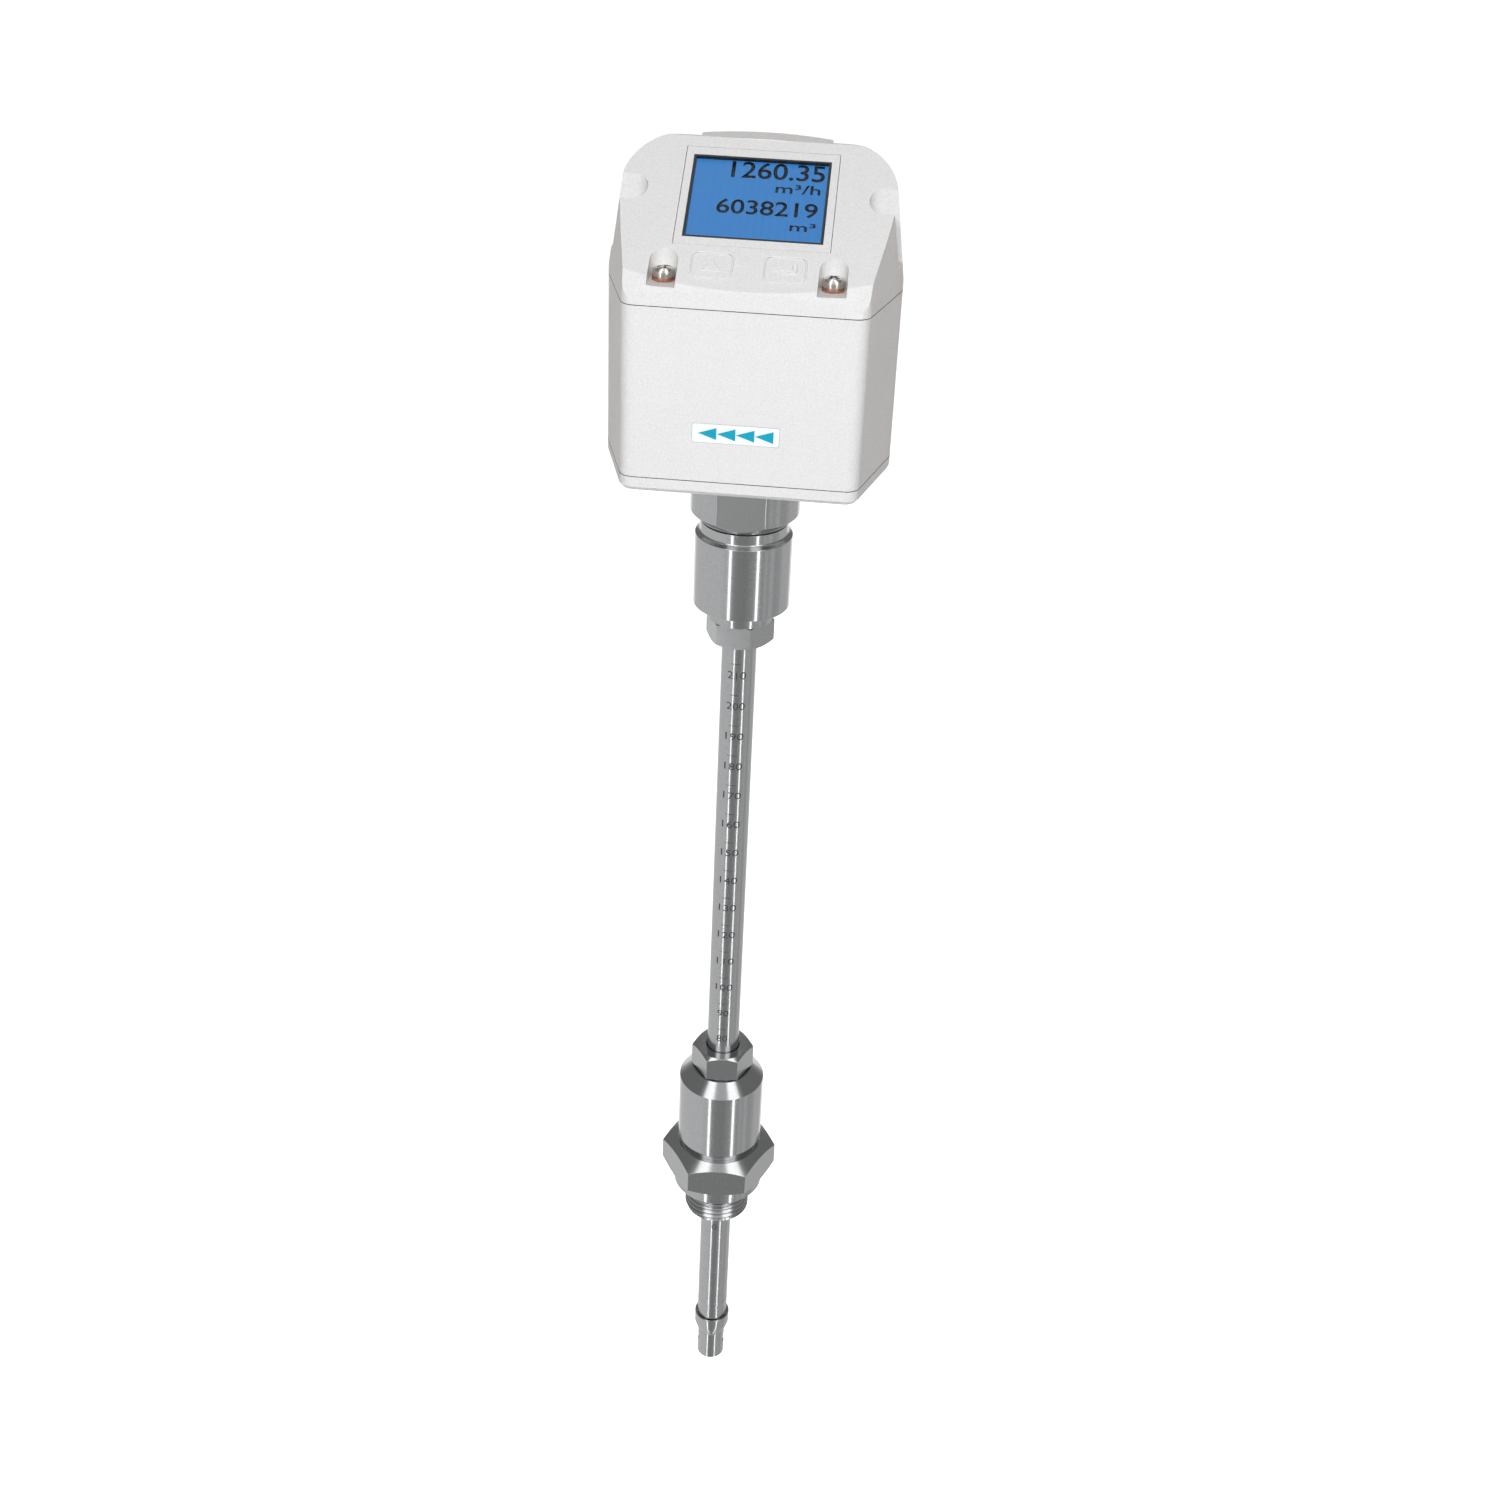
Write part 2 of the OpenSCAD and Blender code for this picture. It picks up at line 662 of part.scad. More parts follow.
// Screw-in fitting
module screw_in_nipple() color(steel) difference() {
    union() {
        thread_rings(thread_r, thread_depth, thread_pitch, -thread_len, 0, thread_lead);
        bore(collar_r, 0, collar_h);
        chamfered_hex(large_hex_af, hex_low_z, hex_top_z, large_hex_low_r, large_hex_top_r,
            large_hex_turn);
    }
    bore(tube_r + pass_gap, -thread_len - cut, hex_top_z + cut);
    bore(bush_r, bush_low_z, hex_top_z + cut);
    bore(spigot_r + run_gap, socket_z, hex_top_z + cut);
}

module guide_bush() color("#e9e6df") difference() {
    bore(bush_r - fit_gap, bush_low_z, socket_z);
    bore(tube_r + run_gap, bush_low_z - cut, socket_z + cut);
}

module body_seal() color("#b87333") difference() {
    bore(spigot_r, socket_z, spigot_z);
    bore(tube_r + pass_gap, socket_z - cut, spigot_z + cut);
}

module fitting_body() color(steel) difference() {
    turned([[0, spigot_z], [spigot_r, spigot_z], [spigot_r, hex_top_z], [body_neck_r, hex_top_z],
        [body_neck_r, body_low_z], [body_r - body_bevel, body_low_z],
        [body_r, body_low_z + body_bevel], [body_r, body_cone_z], [body_top_r, body_top_z],
        [0, body_top_z]]);
    bore(tube_r + pass_gap, spigot_z - cut, body_top_z);
    bore(chamber_r, chamber_floor_z, body_top_z + cut);
}

module probe_seal() color(seal_black)
    translate([0, 0, chamber_floor_z + seal_section / 2])
        rotate_extrude($fn = round_fn)
            translate([tube_r + run_gap + seal_section / 2, 0])
                circle(r = seal_section / 2, $fn = small_fn);

module clamp_collet() color(brass) difference() {
    turned([[tube_r + run_gap, collet_z], [chamber_r - run_gap, collet_z],
        [chamber_r - run_gap, collet_top_z - collet_bevel],
        [chamber_r - run_gap - collet_bevel, collet_top_z], [tube_r + run_gap, collet_top_z]]);
    for (a = [0, 90])
        rotate(a) translate([-chamber_r, -collet_slot / 2, collet_top_z - collet_slot_len])
            cube([chamber_r * 2, collet_slot, collet_slot_len + cut]);
}

module thrust_ring() color(bright_steel) difference() {
    bore(chamber_r - run_gap, thrust_z, thrust_top_z);
    bore(tube_r + pass_gap, thrust_z - cut, thrust_top_z + cut);
}

module clamp_nut() color(bright_steel) difference() {
    union() {
        bore(chamber_r - run_gap, thrust_top_z, nut_low_z + cut);
        chamfered_hex(nut_af, nut_low_z, nut_top_z, nut_af, nut_face_r, nut_turn);
    }
    bore(tube_r + pass_gap, thrust_top_z - cut, nut_top_z + cut);
    turned([[0, nut_top_z - nut_sink], [tube_r + pass_gap, nut_top_z - nut_sink],
        [tube_r + pass_gap + nut_sink, nut_top_z], [tube_r + pass_gap + nut_sink, nut_top_z + cut],
        [0, nut_top_z + cut]]);
}

// Probe
module ring_mark(z) difference() {
    bore(tube_r + cut, z - ring_mark_w / 2, z + ring_mark_w / 2);
    bore(tube_r - ring_mark_d, z - ring_mark_w, z + ring_mark_w);
}

module probe_tube() color(bright_steel) difference() {
    bore(tube_r, tube_low_z, tube_top_z);
    bore(tube_bore_r, tube_low_z - cut, tube_top_z + cut);
    ring_mark(safety_top_z + ring_mark_low);
    ring_mark(safety_top_z + ring_mark_high);
}

module safety_collar() color(bright_steel) difference() {
    turned([[0, tip_top_z], [tip_r, tip_top_z], [safety_r, safety_cone_z],
        [safety_r, safety_top_z], [0, safety_top_z]]);
    bore(tube_r + fit_gap, tube_low_z, safety_top_z + cut);
    bore(tube_bore_r, tip_top_z - cut, tube_low_z + cut);
    bore(tube_r + safety_recess_w, safety_top_z - safety_recess, safety_top_z + cut);
}

module sensor_tip() color(bright_steel) difference() {
    union() {
        turned([[0, tip_low_z], [tip_r - tip_bevel, tip_low_z], [tip_r, tip_low_z + tip_bevel],
            [tip_r, tip_top_z], [0, tip_top_z]]);
        bore(tube_bore_r - fit_gap, tip_top_z - cut, tip_spigot_z);
    }
    bore(carrier_r, carrier_floor_z, tip_spigot_z + cut);
    translate([0, 0, flow_hole_z]) rotate([0, 90, 0])
        cylinder(r = flow_hole_r, h = tip_r * 2 + cut * 2, center = true, $fn = round_fn);
}

module element_carrier() color("#8d8577") bore(carrier_r - fit_gap, carrier_low_z, carrier_top_z);

module sensing_element(side)
    translate([0, side * element_gap / 2, carrier_floor_z])
        cylinder(r = element_r, h = carrier_low_z - carrier_floor_z, $fn = small_fn);

module heated_element() color("#d8c9a6") sensing_element(-1);

module reference_element() color("#cfd4d6") sensing_element(1);

module probe_wires() for (i = [0:len(wire_angles) - 1])
    color(["#b03a2e", "#2e86c1", "#f1c40f", "#f4f6f7"][i])
        rotate(wire_angles[i]) translate([wire_pcr, 0, carrier_top_z])
            cylinder(r = wire_r, h = board_z - standoff_h / 3 - carrier_top_z, $fn = small_fn);

module tube_plug() color("#55585b") difference() {
    bore(tube_bore_r - fit_gap, plug_low_z, tube_top_z);
    for (a = wire_angles)
        rotate(a) translate([wire_pcr, 0, plug_low_z - cut])
            cylinder(r = wire_r + fit_gap, h = tube_top_z - plug_low_z + cut * 2, $fn = small_fn);
}

// Coupling between probe and head
module stem_hex() color(bright_steel) difference() {
    union() {
        chamfered_hex(stem_hex_af, stem_hex_z, shoulder_z, stem_hex_face_r,
            shoulder_r + stem_hex_step, stem_hex_turn);
        bore(shoulder_r, shoulder_z, sleeve_z);
        bore(sleeve_bore_r - fit_gap, sleeve_z, stem_spigot_z);
    }
    bore(tube_r + fit_gap, stem_hex_z - cut, tube_top_z);
    bore(tube_bore_r, stem_hex_z, stem_spigot_z + cut);
}

module coupling_sleeve() color(bright_steel) difference() {
    turned([[0, sleeve_z], [sleeve_r, sleeve_z], [sleeve_r, sleeve_top_z],
        [sleeve_neck_r, neck_z], [sleeve_neck_r, neck_top_z], [0, neck_top_z]]);
    bore(sleeve_bore_r, sleeve_z - cut, union_bore_z);
    bore(union_bore_r, union_bore_z, neck_top_z + cut);
}

module coupling_seal() color(seal_black) difference() {
    bore(sleeve_neck_r - union_seal_t / 2, neck_top_z, adapter_z);
    bore(union_bore_r, neck_top_z - cut, adapter_z + cut);
}

module head_adapter() color(bright_steel) difference() {
    union() {
        bore(union_bore_r - run_gap, adapter_z - union_spigot_h, adapter_z + cut);
        intersection() {
            turned([[0, adapter_z], [adapter_r - adapter_bevel, adapter_z],
                [adapter_r, adapter_z + adapter_bevel], [adapter_r, head_z], [0, head_z]]);
            translate([-adapter_r, -adapter_af / 2, adapter_z])
                cube([adapter_r * 2, adapter_af, adapter_h]);
        }
        bore(gland_r, head_z - cut, gland_top_z);
    }
    bore(adapter_bore_r, adapter_z - union_spigot_h - cut, gland_top_z + cut);
}

module adapter_seal() color(seal_black) difference() {
    bore(locknut_af / 2, base_z, locknut_z);
    bore(gland_r + run_gap, base_z - cut, locknut_z + cut);
}

module adapter_locknut() color(brass) difference() {
    chamfered_hex(locknut_af, locknut_z, locknut_z + locknut_h, locknut_af / 2, locknut_af / 2, 0);
    bore(gland_r + fit_gap, locknut_z - cut, locknut_z + locknut_h + cut);
}

// Head shells
module cover_screw_holes(r, low, high)
    for (spot = cover_screw_spots)
        translate([spot[0], spot[1], low]) cylinder(r = r, h = high - low, $fn = small_fn);

module bottom_cover() color(housing_grey) difference() {
    union() {
        hull() {
            translate([0, 0, head_z]) linear_extrude(cover_bevel) head_plan(cover_bevel);
            translate([0, 0, head_z + cover_bevel]) linear_extrude(cover_h - cover_bevel) head_plan();
        }
        translate([0, 0, base_z - face_gap]) linear_extrude(tongue_h + face_gap) difference() {
            head_plan(base_wall + face_gap);
            head_plan(base_wall + tongue_w);
        }
    }
    bore(gland_r + run_gap, head_z - cut, base_z + cut);
    cover_screw_holes(screw_r + run_gap, head_z - cut, base_z + cut);
    cover_screw_holes(boss_r + face_gap, base_z, base_z + tongue_h + cut);
    for (spot = cover_screw_spots)
        translate([spot[0], spot[1], head_z - face_gap])
            cylinder(r1 = screw_head_r, r2 = screw_r, h = screw_head_r - screw_r, $fn = small_fn);
}

module cover_screws() color(bright_steel) for (spot = cover_screw_spots)
    translate([spot[0], spot[1], head_z]) difference() {
        union() {
            cylinder(r = screw_r, h = boss_h - cover_h, $fn = small_fn);
            cylinder(r1 = screw_head_r - face_gap * 2, r2 = screw_r,
                h = screw_head_r - face_gap * 2 - screw_r, $fn = small_fn);
        }
        for (a = [0, 90])
            rotate(a) translate([-screw_r, -screw_r / 5, -cut])
                cube([screw_r * 2, screw_r * 2 / 5, cut + screw_r / 2]);
    }

module hump_block(low, high) {
    translate([-hump_w / 2, 0, low]) cube([hump_w, hump_back, high - low]);
}

module screw_bosses(spots, r, low, high) for (spot = spots)
    translate([spot[0], spot[1], low]) cylinder(r = r, h = high - low, $fn = small_fn);

// A web ties the boss of a lid screw to the nearest wall
module boss_web(spot, low, high) {
    side = sign(spot[0]);
    if (spot[1] < 0)
        translate([spot[0] - boss_r, -head_front, low])
            cube([boss_r * 2, head_front + spot[1], high - low]);
    else
        translate([side > 0 ? spot[0] : -head_w, spot[1] - boss_r, low])
            cube([head_w - abs(spot[0]), boss_r * 2, high - low]);
}

module base_housing() color(housing_grey) difference() {
    union() {
        translate([0, 0, base_z]) linear_extrude(base_h) head_plan();
        hump_block(pad_z, seam_z);
    }
    difference() {
        union() {
            translate([0, 0, base_z - cut]) linear_extrude(base_h + cut * 2) head_plan(base_wall);
            translate([hump_side_t - hump_w / 2, 0, pad_z + hump_side_t])
                cube([hump_w - hump_side_t * 2, hump_back - lid_wall,
                    seam_z - pad_z - hump_side_t - pad_shelf_t]);
        }
        intersection() {
            translate([0, 0, base_z]) linear_extrude(base_h) head_plan(base_wall / 2);
            union() {
                screw_bosses(lid_screw_spots, boss_r, seam_z - boss_h, seam_z);
                for (spot = lid_screw_spots) boss_web(spot, seam_z - boss_h, seam_z);
                screw_bosses(cover_screw_spots, boss_r, base_z, base_z + boss_h - cover_h);
            }
        }
    }
    for (spot = lid_screw_spots)
        translate([spot[0], spot[1], seam_z - boss_h + base_wall / 2])
            cylinder(r = screw_r + fit_gap, h = boss_h, $fn = small_fn);
    cover_screw_holes(screw_r + fit_gap, base_z - cut, base_z + boss_h - cover_h - cut);
    translate([0, 0, seam_z - gasket_h]) linear_extrude(gasket_h + cut) difference() {
        head_plan(groove_inset);
        head_plan(groove_inset + gasket_w);
    }
    for (side = [-1, 1])
        translate([side * plug_x, 0, plug_z]) rotate([-90, 0, 0])
            cylinder(r = plug_shank_r + run_gap, h = hump_back + cut, $fn = round_fn);
}

module lid_gasket() color(seal_black)
    translate([0, 0, seam_z - gasket_h]) linear_extrude(gasket_h) difference() {
        head_plan(groove_inset + fit_gap);
        head_plan(groove_inset + gasket_w - fit_gap);
    }

module arrow_label() color("#fafafa")
    translate([-label_shift - label_w / 2, -head_front - label_t, head_z + label_z - label_h / 2])
        cube([label_w, label_t, label_h]);

// The sloped face: local X across, Y up the slope, Z out of the face
module on_slope() translate([0, 0, slope_z]) rotate([slope_angle, 0, 0]) children();

module below_slope(depth = 0) on_slope()
    translate([-head_w, -head_w, -depth - head_w * 2]) cube(head_w * 2);

module slope_plate(w, h, from, to)
    translate([-w / 2, -h / 2, -from]) cube([w, h, from - to]);

module lid_outer() intersection() {
    hull() {
        translate([0, 0, seam_z]) linear_extrude(lid_rim_h) head_plan();
        translate([0, 0, lid_top_z]) linear_extrude(face_gap) lid_top_plan();
    }
    below_slope();
    bow_bevel();
}

// A wide cone whose side is the bevel in front of the sloped face
module bow_bevel() {
    run = 1 / tan(bow_bevel_angle);
    low = bow_r + bow_z * run;
    translate([0, bow_r + bow_inset - head_front, seam_z])
        cylinder(r1 = low, r2 = low - lid_back_h * 2 * run, h = lid_back_h * 2, $fn = bow_fn);
}

module lid_inner() intersection() {
    hull() {
        translate([0, 0, seam_z - cut]) linear_extrude(lid_rim_h + cut) head_plan(lid_wall);
        translate([0, 0, lid_top_z]) linear_extrude(face_gap) lid_top_plan(lid_wall);
    }
    below_slope(lid_wall);
}

module lid_hump() {
    arch_r = (hump_w * hump_w / 4 + hump_rise * hump_rise) / (2 * hump_rise);
    intersection() {
        difference() {
            hump_block(seam_z, hump_z + hump_rise);
            translate([hump_side_t - hump_w / 2, 0, seam_z - cut])
                cube([hump_w - hump_side_t * 2, hump_back - lid_wall, hump_h - lid_wall + cut]);
        }
        translate([0, 0, hump_z + hump_rise - arch_r]) rotate([-90, 0, 0])
            cylinder(r = arch_r, h = hump_back, $fn = bow_fn);
        translate([-hump_w, lid_top_back - lid_wall / 2, seam_z])
            cube([hump_w * 2, hump_back, lid_back_h * 2]);
    }
}

module lid_pocket(spot, floor_z) {
    side = sign(spot[0]);
    translate([spot[0], spot[1], floor_z]) {
        cylinder(r = pocket_r, h = lid_back_h, $fn = small_fn);
        if (spot[1] < 0)
            translate([-pocket_r, -head_front, 0]) cube([pocket_r * 2, head_front, lid_back_h]);
        else
            translate([side > 0 ? 0 : -head_front, -pocket_r, 0])
                cube([head_front, pocket_r * 2, lid_back_h]);
    }
}

module lid_pocket_wall(spot) {
    side = sign(spot[0]);
    wall_r = pocket_r + pocket_wall;
    translate([spot[0], spot[1], seam_z]) {
        cylinder(r = wall_r, h = lid_back_h, $fn = small_fn);
        if (spot[1] < 0)
            translate([-wall_r, -head_front, 0]) cube([wall_r * 2, head_front, lid_back_h]);
        else
            translate([side > 0 ? 0 : -head_front, -wall_r, 0])
                cube([head_front, wall_r * 2, lid_back_h]);
    }
}

module lid() color(housing_grey) difference() {
    union() {
        difference() {
            union() {
                lid_outer();
                lid_hump();
            }
            difference() {
                lid_inner();
                for (spot = lid_screw_spots) lid_pocket_wall(spot);
            }
        }
        on_slope() for (spot = pillar_spots)
            translate([spot[0], spot[1], -board_d])
                cylinder(r = pillar_r, h = board_d - lid_wall / 2, $fn = small_fn);
    }
    for (spot = lid_screw_spots) {
        lid_pocket(spot, seam_z + spot[2]);
        translate([spot[0], spot[1], seam_z - cut])
            cylinder(r = screw_r + run_gap, h = lid_back_h, $fn = small_fn);
    }
    on_slope() {
        slope_plate(bezel_w + seam_gap * 2, bezel_h + seam_gap * 2, lid_wall + cut, -cut);
        for (side = [-1, 1])
            translate([side * key_x, -key_drop, -lid_wall - cut])
                linear_extrude(lid_wall + cut * 2)
                    polygon(rounded_points(key_w + seam_gap * 2, key_h + seam_gap * 2, key_corner_r));
        for (spot = pillar_spots)
            translate([spot[0], spot[1], -board_d - cut])
                cylinder(r = pillar_screw_r + fit_gap, h = board_d, $fn = small_fn);
    }
}

module lid_screws() color("#c9c6bd") for (spot = lid_screw_spots)
    translate([spot[0], spot[1], seam_z + spot[2] + washer_t])
        pan_screw(screw_r, screw_head_r, screw_head_h, screw_len, spot[3]);

module screw_washers() color("#b5805f") for (spot = lid_screw_spots)
    translate([spot[0], spot[1], seam_z + spot[2]]) difference() {
        cylinder(r = washer_r, h = washer_t, $fn = small_fn);
        translate([0, 0, -cut]) cylinder(r = screw_r + run_gap, h = washer_t + cut * 2, $fn = small_fn);
    }

// Display, keys and boards
module display_bezel() color(housing_grey) on_slope() difference() {
    union() {
        slope_plate(bezel_w, bezel_h, flange_d, 0);
        slope_plate(bezel_w + bezel_flange_w * 2, bezel_h, flange_d, lid_wall);
    }
    slope_plate(display_w + seam_gap, display_h + seam_gap, flange_d + cut, -cut);
}

module display_frame() color(seal_black) on_slope() difference() {
    slope_plate(display_w, display_h, flange_d, window_sink / 2);
    slope_plate(display_w - display_border * 2, display_h - display_border * 2, flange_d + cut, -cut);
}

module display_window() color("#cfe3f3", 0.35) on_slope()
    slope_plate(display_w - display_border * 2 - fit_gap, display_h - display_border * 2 - fit_gap,
        window_sink + window_t, window_sink);

module display_module() color("#3d7fc0") on_slope() {
    slope_plate(module_w, module_h, board_d, flange_d);
    slope_plate(display_w - display_border * 2 - fit_gap, display_h - display_border * 2 - fit_gap,
        flange_d + fit_gap, window_sink + window_t);
}

module display_board() color(board_green) on_slope() difference() {
    translate([0, 0, -board_d - board_t]) union() {
        translate([-display_board_w / 2, -display_board_down, 0])
            cube([display_board_w, display_board_up + display_board_down, board_t]);
        translate([-display_tail_w / 2, -display_tail_down, 0])
            cube([display_tail_w, display_tail_down, board_t]);
    }
    for (spot = pillar_spots)
        translate([spot[0], spot[1], -board_d - board_t - cut])
            cylinder(r = pillar_screw_r + run_gap, h = board_t + cut * 2, $fn = small_fn);
}

module display_screws() color(brass) on_slope() for (spot = pillar_spots)
    translate([spot[0], spot[1], -board_d - board_t]) mirror([0, 0, 1])
        pan_screw(pillar_screw_r, small_head_r * pillar_screw_share, small_head_h * pillar_screw_share,
            board_t * pillar_screw_len_share, pillar_screw_turn);

module key_switches() color("#33363a") on_slope() for (side = [-1, 1])
    translate([side * key_x, -key_drop, -board_d]) {
        base_w = key_h * switch_w_share;
        translate([-base_w / 2, -base_w / 2, 0])
            cube([base_w, base_w, (board_d - switch_top_d) * switch_base_share]);
        cylinder(r = key_post_r, h = board_d - switch_top_d, $fn = small_fn);
    }

module slope_key(side) on_slope() translate([side * key_x, -key_drop, 0]) {
    translate([0, 0, -key_flange_d - face_gap]) linear_extrude(key_flange_d + face_gap)
        polygon(rounded_points(key_w, key_h, key_corner_r - seam_gap));
    translate([0, 0, -key_post_d]) linear_extrude(key_flange_t)
        polygon(rounded_points(key_w + key_flange_w * 2, key_h + key_flange_w * 2, key_corner_r));
    translate([0, 0, -key_end_d]) cylinder(r = key_post_r, h = key_post_h + face_gap, $fn = small_fn);
}

module button_up() color(housing_grey) slope_key(-1);

module button_enter() color(housing_grey) slope_key(1);

module main_board() color(board_green) difference() {
    translate([-main_board_w / 2, -main_board_d / 2, board_z])
        cube([main_board_w, main_board_d, board_t]);
    for (spot = standoff_spots)
        translate([spot[0], spot[1], board_z - cut])
            cylinder(r = small_screw_r + run_gap, h = board_t + cut * 2, $fn = small_fn);
}

// Chips, a terminal strip and a capacitor on the main board
module board_parts() translate([0, 0, board_z + board_t]) {
    chip = main_board_w / 7;
    large = chip * large_chip_share;
    strip_d = chip * strip_share;
    color("#26282b") translate([-chip, -chip, 0]) cube([large, large, chip / 4]);
    color("#26282b") translate([chip, -chip / 2, 0]) cube([chip, chip / 2, chip / 5]);
    color("#3f7a4f") translate([-chip * 3 / 2, main_board_d / 2 - strip_d - chip / 10, 0])
        cube([chip * 3, strip_d, chip - chip / 10]);
    color("#9aa0a6") translate([-chip * 2, 0, 0]) cylinder(r = chip / 3, h = strip_d, $fn = small_fn);
}

module wire_socket() color("#ece7da")
    translate([-wire_pcr * 2, -wire_pcr * 2, board_z - standoff_h / 3])
        cube([wire_pcr * 4, wire_pcr * 4, standoff_h / 3]);

module board_standoffs() color(brass) for (spot = standoff_spots)
    translate([spot[0], spot[1], base_z]) difference() {
        cylinder(r = standoff_af / 2 / cos(30), h = standoff_h, $fn = 6);
        translate([0, 0, standoff_h / 2])
            cylinder(r = small_screw_r + fit_gap, h = standoff_h, $fn = small_fn);
    }

module board_screws() color(bright_steel) for (spot = standoff_spots)
    translate([spot[0], spot[1], board_z + board_t])
        pan_screw(small_screw_r, small_head_r, small_head_h, standoff_h * board_screw_len_share,
            board_screw_turn);

// Plug connectors at the back, drawn along Z and laid along +Y
module at_plug(side) translate([side * plug_x, hump_back, plug_z]) rotate([-90, 0, 0]) children();

module plug_shell(side) color(bright_steel) at_plug(side) difference() {
    union() {
        thread_rings(plug_r, plug_thread_depth, plug_pitch,
            plug_flange_t, plug_flange_t + plug_len, plug_pitch / 2);
        cylinder(r = plug_flange_r, h = plug_flange_t, $fn = round_fn);
        translate([0, 0, -plug_shank]) cylinder(r = plug_shank_r, h = plug_shank, $fn = round_fn);
    }
    translate([0, 0, -plug_shank - cut])
        cylinder(r = plug_bore_r, h = plug_shank + plug_flange_t + plug_len + cut * 2, $fn = round_fn);
    translate([0, 0, -cut]) difference() {
        cylinder(r = plug_flange_r - plug_flange_t / 2, h = cut + plug_flange_t / 2, $fn = round_fn);
        cylinder(r = plug_groove_r, h = cut + plug_flange_t, $fn = round_fn);
    }
}

module plug_insert(side) color("#2b2d30") at_plug(side) difference() {
    translate([0, 0, -plug_shank])
        cylinder(r = plug_bore_r - fit_gap,
            h = plug_shank + plug_flange_t + plug_len - plug_recess, $fn = round_fn);
    for (a = [0:pin_count - 1])
        rotate(a * 360 / pin_count + 45) translate([pin_pcr, 0, -plug_shank - cut])
            cylinder(r = pin_r + fit_gap, h = plug_shank * 3, $fn = small_fn);
    translate([0, 0, -plug_shank - cut]) cylinder(r = pin_r + fit_gap, h = plug_shank * 3, $fn = small_fn);
}

module plug_pins(side) color(contact_gold) at_plug(side) {
    pin_len = plug_shank + plug_flange_t + plug_len - plug_recess / 4 + pin_r * 4;
    for (a = [0:pin_count - 1])
        rotate(a * 360 / pin_count + 45) translate([pin_pcr, 0, -plug_shank - pin_r * 4])
            cylinder(r = pin_r, h = pin_len, $fn = small_fn);
    translate([0, 0, -plug_shank - pin_r * 4]) cylinder(r = pin_r, h = pin_len, $fn = small_fn);
}

// A square ring in the groove under the connector's flange
module plug_seal(side) color(seal_black) at_plug(side) difference() {
    cylinder(r = plug_flange_r - plug_flange_t / 2 - fit_gap, h = plug_flange_t / 2 - fit_gap,
        $fn = round_fn);
    translate([0, 0, -cut])
        cylinder(r = plug_groove_r + fit_gap, h = plug_flange_t + cut, $fn = round_fn);
}

module plug_nut(side) color(brass) at_plug(side) difference() {
    translate([0, 0, -lid_wall - plug_nut_t]) rotate(30)
        cylinder(r = plug_nut_af / 2 / cos(30), h = plug_nut_t, $fn = 6);
    translate([0, 0, -lid_wall - plug_nut_t - cut])
        cylinder(r = plug_shank_r + fit_gap, h = plug_nut_t + cut * 2, $fn = round_fn);
}

module left_plug_shell() plug_shell(-1);
module left_plug_insert() plug_insert(-1);
module left_plug_pins() plug_pins(-1);
module left_plug_seal() plug_seal(-1);
module left_plug_nut() plug_nut(-1);
module right_plug_shell() plug_shell(1);
module right_plug_insert() plug_insert(1);
module right_plug_pins() plug_pins(1);
module right_plug_seal() plug_seal(1);
module right_plug_nut() plug_nut(1);

screw_in_nipple();
guide_bush();
body_seal();
fitting_body();
probe_seal();
clamp_collet();
thrust_ring();
clamp_nut();
probe_tube();
safety_collar();
sensor_tip();
element_carrier();
heated_element();
reference_element();
probe_wires();
tube_plug();
stem_hex();
coupling_sleeve();
coupling_seal();
head_adapter();
adapter_seal();
adapter_locknut();
bottom_cover();
cover_screws();
base_housing();
arrow_label();
lid_gasket();
lid();
lid_screws();
screw_washers();
display_bezel();
display_frame();
display_window();
display_module();
display_board();
display_screws();
key_switches();
button_up();
button_enter();
main_board();
board_parts();
wire_socket();
board_standoffs();
board_screws();
left_plug_shell();
left_plug_insert();
left_plug_pins();
left_plug_seal();
left_plug_nut();
right_plug_shell();
right_plug_insert();
right_plug_pins();
right_plug_seal();
right_plug_nut();
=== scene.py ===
"""Insertion flow sensor for compressed air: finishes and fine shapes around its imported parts."""

import json
import math

import bmesh
import bpy
from mathutils import Matrix, Vector

